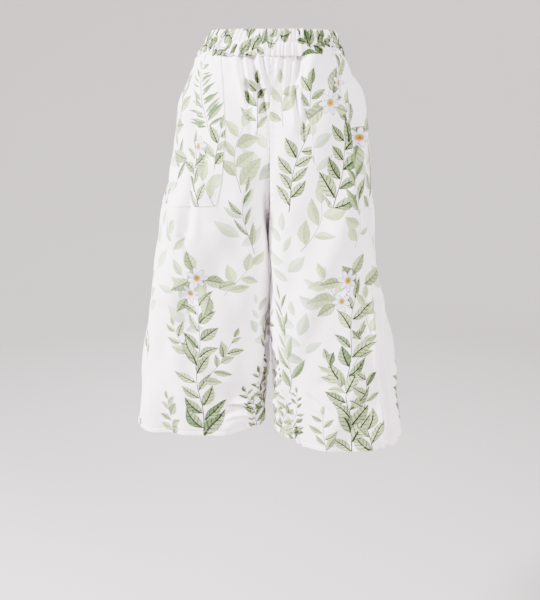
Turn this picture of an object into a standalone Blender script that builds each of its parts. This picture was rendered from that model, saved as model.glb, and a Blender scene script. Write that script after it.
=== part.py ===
"""Pull-on culottes with a ruched elastic waistband and two patch pockets.

Metres, +Z up. The wearer faces -Y and the wearer's left is +X. The origin is
the centre of the waistband, where the wearer holds the garment up. Heights are
given as drops below the top edge of the waistband.
"""
import math

import bmesh
import bpy
import numpy as np
from mathutils import Vector

COLLECTION = "culottes"

BAND_HEIGHT = 0.0375      # waistband, top edge to bottom edge
LENGTH = 0.705            # waist top to hem
CROTCH_DROP = 0.288       # waist top to crotch
CLOTH = 0.0015            # wall of one panel
POCKET_CLOTH = 0.0012     # wall of a pocket patch
SEAM_GAP = 0.0003         # left open between two pieces at a seam

# One row for each section of one half of the garment, seen from above.
# side: centre plane to outer side; middle: centre plane to the leg's middle;
# inner: centre plane to the inner leg, below 0 where the half runs into the
# other one; front, axis, back: y of the front, of the widest points and of the
# back; square: 2 is an ellipse, more is squarer, and inside the same for the
# half towards the centre plane; turn: degrees from the widest point forward to
# the side seam.
SECTION = ("drop", "side", "middle", "inner", "front", "axis", "back", "square", "inside", "turn")
RIGHT_SECTIONS = (
    (0.000, 0.0915, 0.000, -0.0915, -0.086, 0.000, 0.088, 2.10, 2.1, 0),
    (0.0375, 0.1155, 0.000, -0.1155, -0.095, 0.000, 0.099, 2.15, 2.2, 0),
    (0.075, 0.131, 0.008, -0.105, -0.102, 0.002, 0.110, 2.20, 2.5, -2),
    (0.110, 0.147, 0.020, -0.085, -0.107, 0.004, 0.120, 2.25, 2.8, -4),
    (0.145, 0.152, 0.036, -0.065, -0.110, 0.006, 0.128, 2.30, 3.2, -6),
    (0.180, 0.156, 0.052, -0.045, -0.110, 0.008, 0.132, 2.35, 3.6, -8),
    (0.230, 0.169, 0.075, -0.0210, -0.106, 0.010, 0.134, 2.40, 4.0, -10),
    (0.262, 0.178, 0.084, -0.0085, -0.102, 0.011, 0.133, 2.50, 4.2, -10),
    (0.288, 0.185, 0.090, 0.0002, -0.098, 0.012, 0.132, 2.60, 4.4, -10),
    (0.320, 0.192, 0.097, 0.0027, -0.094, 0.013, 0.131, 2.65, 4.5, -10),
    (0.364, 0.201, 0.103, 0.0025, -0.087, 0.014, 0.128, 2.70, 4.6, -10),
    (0.457, 0.216, 0.111, 0.0022, -0.076, 0.016, 0.125, 2.70, 4.1, -10),
    (0.555, 0.232, 0.118, 0.0030, -0.066, 0.018, 0.123, 2.60, 3.0, -10),
    (0.655, 0.248, 0.127, 0.0075, -0.057, 0.020, 0.121, 2.35, 2.3, -10),
    (0.705, 0.258, 0.134, 0.0090, -0.052, 0.020, 0.120, 2.20, 2.1, -10),
)
LEFT_SECTIONS = (
    (0.000, 0.102, 0.000, -0.102, -0.086, 0.000, 0.088, 2.10, 2.1, 0),
    (0.0375, 0.118, 0.000, -0.118, -0.095, 0.000, 0.099, 2.15, 2.2, 0),
    (0.075, 0.134, 0.008, -0.105, -0.102, 0.000, 0.109, 2.20, 2.5, -2),
    (0.110, 0.148, 0.020, -0.085, -0.108, -0.002, 0.117, 2.25, 2.8, -2),
    (0.145, 0.159, 0.036, -0.065, -0.112, -0.004, 0.122, 2.30, 3.2, -2),
    (0.180, 0.164, 0.052, -0.045, -0.114, -0.006, 0.124, 2.35, 3.6, 0),
    (0.230, 0.169, 0.075, -0.0210, -0.115, -0.008, 0.122, 2.40, 4.0, 4),
    (0.262, 0.171, 0.083, -0.0085, -0.115, -0.009, 0.118, 2.50, 4.2, 8),
    (0.288, 0.173, 0.088, 0.0002, -0.115, -0.010, 0.114, 2.60, 4.4, 12),
    (0.320, 0.177, 0.092, 0.0027, -0.115, -0.011, 0.109, 2.65, 4.5, 18),
    (0.364, 0.183, 0.096, 0.0025, -0.115, -0.012, 0.104, 2.70, 4.6, 24),
    (0.457, 0.205, 0.106, 0.0022, -0.115, -0.014, 0.094, 2.70, 3.8, 30),
    (0.555, 0.224, 0.117, 0.0030, -0.114, -0.016, 0.086, 2.60, 2.6, 34),
    (0.655, 0.241, 0.128, 0.0090, -0.112, -0.018, 0.079, 2.30, 2.0, 37),
    (0.705, 0.249, 0.135, 0.0115, -0.110, -0.018, 0.076, 2.20, 1.85, 38),
)

# One row for each fold: the panel's side of the body, the distance from the
# centre plane and the drop at its two ends, half its width, and how far it
# stands out (above 0) or sinks in (below 0).
FOLD = ("face", "x0", "drop0", "x1", "drop1", "half", "rise")
RIGHT_FOLDS = (
    ("front", 0.046, 0.036, 0.029, 0.105, 0.0070, -0.0050),
    ("front", 0.038, 0.036, 0.020, 0.100, 0.0060, 0.0020),
    ("front", 0.0305, 0.036, 0.0085, 0.140, 0.0065, -0.0055),
    ("front", 0.0165, 0.036, 0.001, 0.105, 0.0060, -0.0045),
    ("front", 0.092, 0.050, 0.099, 0.110, 0.0100, -0.0025),
    ("front", 0.119, 0.080, 0.141, 0.345, 0.0150, -0.0095),
    ("front", 0.154, 0.190, 0.150, 0.330, 0.0110, 0.0050),
    ("front", 0.148, 0.365, 0.120, 0.440, 0.0120, -0.0020),
    ("front", 0.140, 0.400, 0.140, 0.540, 0.0220, -0.0035),
    ("front", 0.090, 0.684, 0.038, 0.662, 0.0120, -0.0070),
    ("front", 0.063, 0.704, 0.050, 0.680, 0.0200, 0.0040),
    ("back", 0.026, 0.036, 0.016, 0.120, 0.0090, -0.0050),
    ("back", 0.052, 0.036, 0.044, 0.140, 0.0100, -0.0055),
    ("back", 0.080, 0.036, 0.086, 0.100, 0.0090, -0.0040),
    ("back", 0.070, 0.230, 0.040, 0.330, 0.0140, -0.0060),
    ("back", 0.135, 0.250, 0.165, 0.705, 0.0220, -0.0100),
    ("back", 0.080, 0.360, 0.090, 0.705, 0.0220, -0.0085),
)
LEFT_FOLDS = (
    ("front", 0.0475, 0.036, 0.0385, 0.085, 0.0080, -0.0080),
    ("front", 0.0385, 0.070, 0.0450, 0.130, 0.0080, -0.0060),
    ("front", 0.0550, 0.115, 0.0470, 0.160, 0.0090, -0.0030),
    ("front", 0.0620, 0.036, 0.0560, 0.095, 0.0080, 0.0030),
    ("front", 0.0185, 0.036, 0.0110, 0.090, 0.0070, -0.0035),
    ("front", 0.0320, 0.036, 0.0250, 0.120, 0.0070, -0.0035),
    ("front", 0.1050, 0.040, 0.1180, 0.120, 0.0100, -0.0045),
    ("front", 0.1300, 0.120, 0.1380, 0.260, 0.0120, -0.0060),
    ("front", 0.0640, 0.625, 0.1080, 0.655, 0.0100, -0.0035),
    ("front", 0.0300, 0.540, 0.0520, 0.690, 0.0140, -0.0045),
    ("back", 0.022, 0.036, 0.012, 0.130, 0.0090, -0.0055),
    ("back", 0.046, 0.036, 0.040, 0.110, 0.0090, -0.0045),
    ("back", 0.074, 0.036, 0.078, 0.130, 0.0100, -0.0050),
    ("back", 0.066, 0.240, 0.036, 0.340, 0.0140, -0.0060),
    ("back", 0.130, 0.280, 0.150, 0.705, 0.0220, -0.0095),
    ("back", 0.075, 0.340, 0.090, 0.705, 0.0240, -0.0100),
)

# Heights of the panels' rows, closer at the gathers and at the crotch
ROW_DROPS = (
    0.0378, 0.047, 0.058, 0.072, 0.089, 0.110, 0.133, 0.157, 0.180, 0.200, 0.218, 0.234,
    0.249, 0.262, 0.273, 0.282, 0.288, 0.301, 0.325, 0.362, 0.407, 0.457, 0.508, 0.560,
    0.610, 0.655, 0.684, 0.705,
)
# Columns of a panel, from the centre or the inseam to the side seam: some lie
# inside the leg, up to its corner, and a front has some more up to the inner
# edge of its pocket patch.
COLUMNS = 24
COLUMNS_TO_CORNER = 5
COLUMNS_TO_POCKET = 12
CORNER = 0.020            # centre plane to the corner of the leg
POCKET_MOUTH_COLUMN = 20  # the column where a patch's mouth starts at the band
POCKET_MOUTH_ROW = 8      # the row where it meets the side seam
POCKET_BOTTOM_ROW = 15    # the last row that a patch reaches
POCKET_BOTTOM = (0.263, 0.280)    # drop of its bottom seam, inside and at the side
# a patch's inner edge: drop, and distance from the centre plane
POCKET_EDGES = {
    "right": ((0.0375, 0.0745), (0.150, 0.0680), (0.225, 0.0755), (0.265, 0.0890)),
    "left": ((0.0375, 0.0480), (0.100, 0.0460), (0.140, 0.0620), (0.190, 0.0650),
             (0.225, 0.0760), (0.265, 0.0930)),
}
SEAM_EASE = 0.3           # columns close up towards the seams by this share

SECTION_SAMPLES = 240         # of each quarter of a section
PANEL_GATHER_DEPTH = 0.0009   # short gathers below the band
PANEL_GATHER_FADE = 0.035     # and the drop over which they run out
SEAM_FADE = 0.012             # folds run out this far from a seam
FOLD_END = 0.025              # and over this length at their ends
FOLD_END_SHARE = 1 / 3        # or over this share of a short fold

BAND_GATHERS = 84         # ruches round the waistband
BAND_INSIDE = 0.0008      # plain inside of the band, inside the panels' line
BAND_THICKNESS = 0.0024   # mean thickness, cloth over elastic
BAND_RUCHE = 0.0011       # height of a ruche over the mean
# Ruches differ in height by two waves: share, and turn for each column
RUCHE_WAVES = ((0.30, 1.9), (0.20, 0.37))
# They lie flatter at the right of the centre front: columns back from the
# centre front, columns either way, and share taken off
FLATTER_RUCHES = (8, 7.0, 0.5)
# rows of the band's outside: drop, share of the ruche, extra thickness
BAND_ROWS = (
    (0.0000, 0.55, -0.0010),
    (0.0030, 1.00, 0.0004),
    (0.0110, 1.00, 0.0006),
    (0.0185, 0.45, -0.0007),
    (0.0270, 1.00, 0.0006),
    (0.0350, 1.00, 0.0002),
    (0.0375, 0.60, -0.0010),
)

BAND_SHARP_ANGLE = 24     # edges of ruches with a sharper turn show as folds
PANEL_SHARP_ANGLE = 60    # and so do the cut edges of a panel
CLOTH_COLOUR = (0.86, 0.86, 0.84, 1.0)
SHADE_STEP = 0.03         # each piece a little darker than the one before
CLOTH_ROUGHNESS = 0.85


def to_z(drop):
    """Height above the waistband's centre of a point this far below its top."""
    return BAND_HEIGHT / 2 - drop


def smooth_row(table, columns, drop):
    """Values of a table at any drop, on a smooth curve through its rows."""
    rows = np.array(table, dtype=float)
    at = rows[:, 0]
    slopes = np.gradient(rows, at, axis=0)
    i = int(np.clip(np.searchsorted(at, drop) - 1, 0, len(at) - 2))
    span = at[i + 1] - at[i]
    s = np.clip((drop - at[i]) / span, 0.0, 1.0)
    start, end = rows[i], rows[i + 1]
    ease = s * s * (3 - 2 * s)
    values = (start + (end - start) * ease
              + slopes[i] * span * s * (1 - s) ** 2
              - slopes[i + 1] * span * s * s * (1 - s))
    return dict(zip(columns, values))


def section_curve(section):
    """Half a section from the centre front round the side to the centre back.

    Returns points (distance from the centre plane, y), their outward normals,
    the run along the curve, and the run at the side seam.
    """
    plane = SEAM_GAP / 2
    middle, inner = section["middle"], section["inner"]
    reach = math.pi / 2
    if middle > plane:
        share = min(1.0, (middle - plane) / (middle - inner))
        reach = math.pi - math.acos(share ** (section["inside"] / 2))
    turn = math.radians(section["turn"])
    angles = np.concatenate((np.linspace(reach, turn, SECTION_SAMPLES),
                             np.linspace(turn, -reach, SECTION_SAMPLES)[1:]))
    c, s = np.cos(angles), np.sin(angles)
    outer = np.where(c > 0, section["side"] - middle, middle - inner)
    power = 2 / np.where(c > 0, section["square"], section["inside"])
    depth = np.where(s > 0, section["front"], section["back"]) - section["axis"]
    x = middle + outer * np.sign(c) * np.abs(c) ** power
    y = section["axis"] + depth * np.abs(s) ** power
    points = np.stack((np.maximum(x, plane), y), axis=1)
    steps = np.linalg.norm(np.diff(points, axis=0), axis=1)
    run = np.concatenate(((0.0,), np.cumsum(steps)))
    along = np.gradient(points, axis=0)
    normals = np.stack((-along[:, 1], along[:, 0]), axis=1)
    normals /= np.maximum(np.linalg.norm(normals, axis=1, keepdims=True), 1e-9)
    return points, -normals, run, run[SECTION_SAMPLES - 1]


def fold_rise(folds, face, x, drop):
    """How far the folds move a point of the front or back in or out."""
    total = 0.0
    for row in folds:
        fold = dict(zip(FOLD, row))
        if fold["face"] != face:
            continue
        dx, dz = fold["x1"] - fold["x0"], fold["drop1"] - fold["drop0"]
        length = math.hypot(dx, dz)
        along = ((x - fold["x0"]) * dx + (drop - fold["drop0"]) * dz) / length
        across = ((x - fold["x0"]) * dz - (drop - fold["drop0"]) * dx) / length
        ends = min(FOLD_END, length * FOLD_END_SHARE)
        # a fold that starts at the band or the hem runs on into it at full depth
        start = 1.0 if fold["drop0"] < BAND_HEIGHT else along / ends
        finish = 1.0 if fold["drop1"] >= LENGTH else (length - along) / ends
        share = min(1.0, max(0.0, start)) * min(1.0, max(0.0, finish))
        share = share * share * (3 - 2 * share)
        total += fold["rise"] * share * math.exp(-(across / fold["half"]) ** 2)
    return total


def column_places(face, points, run, seam, pocket_edge):
    """Places of a panel's columns along a section, from the centre to the side."""
    beyond = np.flatnonzero(points[:, 0] >= CORNER)
    if face == "front":
        edge = np.flatnonzero(points[:, 0] >= pocket_edge)[0]
        knots = ((0, run[0]), (COLUMNS_TO_CORNER, run[beyond[0]]),
                 (COLUMNS_TO_POCKET, run[edge]), (COLUMNS, seam))
    else:
        knots = ((0, run[-1]), (COLUMNS_TO_CORNER, run[beyond[-1]]), (COLUMNS, seam))
    places = []
    for (first, here), (last, there) in zip(knots, knots[1:]):
        share = np.arange(first, last) / (last - first) - first / (last - first)
        ease = SEAM_EASE * np.sin(math.pi * share) / math.pi
        if first == 0:
            share = share - ease
        elif last == COLUMNS:
            share = share + ease
        places.append(here + (there - here) * share)
    return np.concatenate(places + [[seam]])


def panel_grids(side, face):
    """Points of one panel and the directions out of it.

    A row for each height, and columns from the centre to the side. The
    directions are level and square to the section, so two panels that meet at
    a seam share them.
    """
    sections = RIGHT_SECTIONS if side == "right" else LEFT_SECTIONS
    folds = RIGHT_FOLDS if side == "right" else LEFT_FOLDS
    mirror = -1 if side == "right" else 1
    points = np.zeros((len(ROW_DROPS), COLUMNS + 1, 3))
    outward = np.zeros_like(points)
    for j, drop in enumerate(ROW_DROPS):
        curve, normals, run, seam = section_curve(smooth_row(sections, SECTION, drop))
        edge = np.interp(drop, *zip(*POCKET_EDGES[side]))
        at = column_places(face, curve, run, seam, edge)
        ends = at[0], at[-1]
        # half a seam gap is kept free at the side seam and at the inseam
        toward = math.copysign(1.0, ends[1] - ends[0])
        at[-1] -= toward * SEAM_GAP / 2
        if drop >= CROTCH_DROP:
            at[0] += toward * SEAM_GAP / 2
        for i, place in enumerate(at):
            point = np.array([np.interp(place, run, curve[:, k]) for k in (0, 1)])
            normal = np.array([np.interp(place, run, normals[:, k]) for k in (0, 1)])
            rise = fold_rise(folds, face, point[0], drop)
            fade = max(0.0, 1 - (drop - BAND_HEIGHT) / PANEL_GATHER_FADE)
            rise += PANEL_GATHER_DEPTH * fade * (-1) ** i
            # folds run out at the seams, so that the edges of two panels meet
            room = min(abs(place - ends[0]), abs(place - ends[1])) / SEAM_FADE
            point = point + normal * rise * min(1.0, room)
            points[j, i] = (mirror * max(point[0], SEAM_GAP / 2), point[1], to_z(drop))
            outward[j, i] = (mirror * normal[0], normal[1], 0.0)
    return points, outward


def wall(outer, inner, outward):
    """Closed cloth wall between two grids of points.

    outward says whether the columns, read downwards, turn the outer faces out.
    """
    shape = bmesh.new()
    front, back = ([[shape.verts.new(p) for p in row] for row in grid]
                   for grid in (outer, inner))
    rows, columns = len(front), len(front[0])
    loops = []
    for j in range(rows - 1):
        for i in range(columns - 1):
            # triangles on one diagonal, so that a patch keeps clear of its panel
            for skin in (front, back):
                corner, across = skin[j][i], skin[j + 1][i + 1]
                pair = ((corner, skin[j][i + 1], across), (corner, across, skin[j + 1][i]))
                loops += pair if skin is front else (face[::-1] for face in pair)
    border = [(0, i) for i in range(columns)]
    border += [(j, columns - 1) for j in range(1, rows)]
    border += [(rows - 1, i) for i in range(columns - 2, -1, -1)]
    border += [(j, 0) for j in range(rows - 2, 0, -1)]
    for (ja, ia), (jb, ib) in zip(border, border[1:] + border[:1]):
        loops.append((front[jb][ib], front[ja][ia], back[ja][ia], back[jb][ib]))
    for loop in loops:
        shape.faces.new(loop if outward else loop[::-1])
    shape.normal_update()
    return shape


def faces_out(side, face):
    """Whether columns from the centre to the side, read downwards, face outwards."""
    return (side == "right") == (face == "front")


def material(name, index):
    """Matt white cloth, a shade of its own for each piece."""
    made = bpy.data.materials.new(name)
    made.use_nodes = True
    shader = made.node_tree.nodes["Principled BSDF"]
    shade = 1 - SHADE_STEP * index
    shader.inputs["Base Color"].default_value = [c * shade for c in CLOTH_COLOUR[:3]] + [1]
    shader.inputs["Roughness"].default_value = CLOTH_ROUGHNESS
    shader.inputs["Metallic"].default_value = 0.0
    return made


def finish(name, shape, index, sharp_angle=PANEL_SHARP_ANGLE):
    """Turn a bmesh into a named object of the garment, with its own material."""
    mesh = bpy.data.meshes.new(name)
    shape.to_mesh(mesh)
    shape.free()
    mesh.materials.append(material(name, index))
    mesh.shade_smooth()
    mesh.set_sharp_from_angle(angle=math.radians(sharp_angle))
    bpy.data.collections[COLLECTION].objects.link(bpy.data.objects.new(name, mesh))


def build_panel(side, face, index):
    """Cloth of one leg panel: a loft through its sections with a wall inwards."""
    points, outward = panel_grids(side, face)
    shape = wall(points, points - outward * CLOTH, faces_out(side, face))
    finish(f"{face}_{side}", shape, index)


def trim(shape, start, end, facing, keep):
    """Cut a closed wall along a line, across its thickness, and close the cut."""
    start, end, facing, keep = (Vector(v) for v in (start, end, facing, keep))
    cut = (end - start).cross(facing)
    if cut.dot(keep - start) > 0:
        cut.negate()
    geometry = shape.verts[:] + shape.edges[:] + shape.faces[:]
    parted = bmesh.ops.bisect_plane(shape, geom=geometry, plane_co=start, plane_no=cut,
                                    clear_outer=True)
    edges = [e for e in parted["geom_cut"] if isinstance(e, bmesh.types.BMEdge)]
    bmesh.ops.holes_fill(shape, edges=edges)


def build_pocket(side, index):
    """Patch pocket: the front panel's own points, moved out and cut at the mouth."""
    points, outward = panel_grids(side, "front")
    mouth_top = points[0, POCKET_MOUTH_COLUMN]
    mouth_end = points[POCKET_MOUTH_ROW, COLUMNS]
    mouth_facing = outward[POCKET_MOUTH_ROW // 2, POCKET_MOUTH_COLUMN]
    patch = slice(0, POCKET_BOTTOM_ROW + 1), slice(COLUMNS_TO_POCKET, COLUMNS + 1)
    points, outward = points[patch], outward[patch]
    shape = wall(points + outward * (SEAM_GAP + POCKET_CLOTH), points + outward * SEAM_GAP,
                 faces_out(side, "front"))
    middle = points[len(points) // 2, points.shape[1] // 2]
    trim(shape, mouth_top, mouth_end, mouth_facing, middle)
    inner_end = (*points[-1, 0, :2], to_z(POCKET_BOTTOM[0]))
    outer_end = (*points[-1, -1, :2], to_z(POCKET_BOTTOM[1]))
    trim(shape, inner_end, outer_end, outward[-1, points.shape[1] // 2], middle)
    bmesh.ops.recalc_face_normals(shape, faces=shape.faces[:])
    finish(f"pocket_{side}", shape, index)


def band_ring(drop, push):
    """Closed ring of the waistband, pushed out by a value for each column."""
    count = BAND_GATHERS
    ring = []
    for mirror, sections in ((1, LEFT_SECTIONS), (-1, RIGHT_SECTIONS)):
        curve, normals, run, _ = section_curve(smooth_row(sections, SECTION, drop))
        at = np.linspace(0, run[-1], count + 1)
        flat = np.stack([np.interp(at, run, curve[:, k]) for k in (0, 1)], axis=1)
        out = np.stack([np.interp(at, run, normals[:, k]) for k in (0, 1)], axis=1)
        flat[[0, -1], 0] = 0.0
        out[[0, -1], 0] = 0.0
        # from the centre front round the left side, and back round the right
        for i in range(count) if mirror > 0 else range(count, 0, -1):
            x, y = flat[i] + out[i] * push[len(ring)]
            ring.append((mirror * x, y, to_z(drop)))
    return ring


def build_waistband(index):
    """Elastic band: ruches raised on its outside over a plain inside."""
    count = 2 * BAND_GATHERS
    column = np.arange(count)
    height = 1 + sum(share * np.sin(turn * column) for share, turn in RUCHE_WAVES)
    back, reach, off = FLATTER_RUCHES
    flatter = 1 - off * np.exp(-((column - (count - back)) / reach) ** 2)
    ruche = BAND_RUCHE * height * flatter * (-1.0) ** column
    rings = [band_ring(drop, BAND_THICKNESS - BAND_INSIDE + extra + share * ruche)
             for drop, share, extra in BAND_ROWS]
    plain = np.full(count, -BAND_INSIDE)
    rings += [band_ring(BAND_ROWS[-1][0], plain), band_ring(BAND_ROWS[0][0], plain)]
    shape = bmesh.new()
    verts = [[shape.verts.new(p) for p in ring] for ring in rings]
    for j, ring in enumerate(verts):
        below = verts[(j + 1) % len(verts)]
        for i in range(count):
            k = (i + 1) % count
            shape.faces.new((ring[i], below[i], below[k], ring[k]))
    shape.normal_update()
    finish("waistband", shape, index, BAND_SHARP_ANGLE)


def main():
    """Clear the scene and build every piece of the culottes."""
    for old in list(bpy.data.objects):
        bpy.data.objects.remove(old, do_unlink=True)
    garment = bpy.data.collections.new(COLLECTION)
    bpy.context.scene.collection.children.link(garment)
    build_waistband(0)
    index = 1
    for side in ("right", "left"):
        for face in ("front", "back"):
            build_panel(side, face, index)
            index += 1
        build_pocket(side, index)
        index += 1


main()
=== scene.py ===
import math

import bpy
import numpy as np
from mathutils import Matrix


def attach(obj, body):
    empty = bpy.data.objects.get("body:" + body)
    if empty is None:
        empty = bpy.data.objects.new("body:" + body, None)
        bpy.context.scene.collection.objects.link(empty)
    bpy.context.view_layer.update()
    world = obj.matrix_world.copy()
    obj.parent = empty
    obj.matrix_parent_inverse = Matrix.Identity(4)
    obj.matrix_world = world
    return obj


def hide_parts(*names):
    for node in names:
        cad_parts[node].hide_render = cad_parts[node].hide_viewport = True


# Culottes worn and held up at the waist: ruched elastic band, four leg panels, two patch
# pockets, white cloth with a green leaf print. Metres, +Z up, the wearer faces -Y and the
# wearer's left is +X. Heights are drops below the band's top. The tables of folds and of
# the print are in millimetres.

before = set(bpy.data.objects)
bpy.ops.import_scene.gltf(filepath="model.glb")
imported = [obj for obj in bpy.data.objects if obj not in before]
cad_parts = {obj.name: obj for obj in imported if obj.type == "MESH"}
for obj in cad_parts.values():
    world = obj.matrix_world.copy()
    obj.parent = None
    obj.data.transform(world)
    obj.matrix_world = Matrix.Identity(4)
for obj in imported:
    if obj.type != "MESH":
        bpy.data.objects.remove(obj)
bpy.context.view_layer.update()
print("frame loaded:", ", ".join(sorted(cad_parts)))


# The garment's own form

garment = {
    "bandHeight": 0.0375,
    "length": 0.705,
    "crotchDrop": 0.288,
    "seamGap": 0.0003,
    "clothThickness": 0.0006,
    "flatLine": 0.06,         # from the centre plane to the line that the cloth's own width starts from
    "curveSamples": 600,
}

# one row for each section of a half, seen from above
sectionColumns = ("drop", "side", "middle", "inner", "front", "axis", "back", "square", "inside", "turn")
sections = {
    "right": (
        (0.000, 0.0915, 0.000, -0.0915, -0.086, 0.000, 0.088, 2.10, 2.1, 0),
        (0.0375, 0.1155, 0.000, -0.1155, -0.095, 0.000, 0.099, 2.15, 2.2, 0),
        (0.075, 0.131, 0.008, -0.105, -0.102, 0.002, 0.110, 2.20, 2.5, -2),
        (0.110, 0.147, 0.020, -0.085, -0.107, 0.004, 0.120, 2.25, 2.8, -4),
        (0.145, 0.152, 0.036, -0.065, -0.110, 0.006, 0.128, 2.30, 3.2, -6),
        (0.180, 0.156, 0.052, -0.045, -0.110, 0.008, 0.132, 2.35, 3.6, -8),
        (0.230, 0.169, 0.075, -0.0210, -0.106, 0.010, 0.134, 2.40, 4.0, -10),
        (0.262, 0.178, 0.084, -0.0085, -0.102, 0.011, 0.133, 2.50, 4.2, -10),
        (0.288, 0.185, 0.090, 0.0002, -0.098, 0.012, 0.132, 2.60, 4.4, -10),
        (0.320, 0.192, 0.097, 0.0027, -0.094, 0.013, 0.131, 2.65, 4.5, -10),
        (0.364, 0.201, 0.103, 0.0025, -0.087, 0.014, 0.128, 2.70, 4.6, -10),
        (0.457, 0.216, 0.111, 0.0022, -0.076, 0.016, 0.125, 2.70, 4.1, -10),
        (0.555, 0.232, 0.118, 0.0030, -0.066, 0.018, 0.123, 2.60, 3.0, -10),
        (0.655, 0.248, 0.127, 0.0075, -0.057, 0.020, 0.121, 2.35, 2.3, -10),
        (0.705, 0.258, 0.134, 0.0090, -0.052, 0.020, 0.120, 2.20, 2.1, -10),
    ),
    "left": (
        (0.000, 0.102, 0.000, -0.102, -0.086, 0.000, 0.088, 2.10, 2.1, 0),
        (0.0375, 0.118, 0.000, -0.118, -0.095, 0.000, 0.099, 2.15, 2.2, 0),
        (0.075, 0.134, 0.008, -0.105, -0.102, 0.000, 0.109, 2.20, 2.5, -2),
        (0.110, 0.148, 0.020, -0.085, -0.108, -0.002, 0.117, 2.25, 2.8, -2),
        (0.145, 0.159, 0.036, -0.065, -0.112, -0.004, 0.122, 2.30, 3.2, -2),
        (0.180, 0.164, 0.052, -0.045, -0.114, -0.006, 0.124, 2.35, 3.6, 0),
        (0.230, 0.169, 0.075, -0.0210, -0.115, -0.008, 0.122, 2.40, 4.0, 4),
        (0.262, 0.171, 0.083, -0.0085, -0.115, -0.009, 0.118, 2.50, 4.2, 8),
        (0.288, 0.173, 0.088, 0.0002, -0.115, -0.010, 0.114, 2.60, 4.4, 12),
        (0.320, 0.177, 0.092, 0.0027, -0.115, -0.011, 0.109, 2.65, 4.5, 18),
        (0.364, 0.183, 0.096, 0.0025, -0.115, -0.012, 0.104, 2.70, 4.6, 24),
        (0.457, 0.205, 0.106, 0.0022, -0.115, -0.014, 0.094, 2.70, 3.8, 30),
        (0.555, 0.224, 0.117, 0.0030, -0.114, -0.016, 0.086, 2.60, 2.6, 34),
        (0.655, 0.241, 0.128, 0.0090, -0.112, -0.018, 0.079, 2.30, 2.0, 37),
        (0.705, 0.249, 0.135, 0.0115, -0.110, -0.018, 0.076, 2.20, 1.85, 38),
    ),
}

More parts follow.
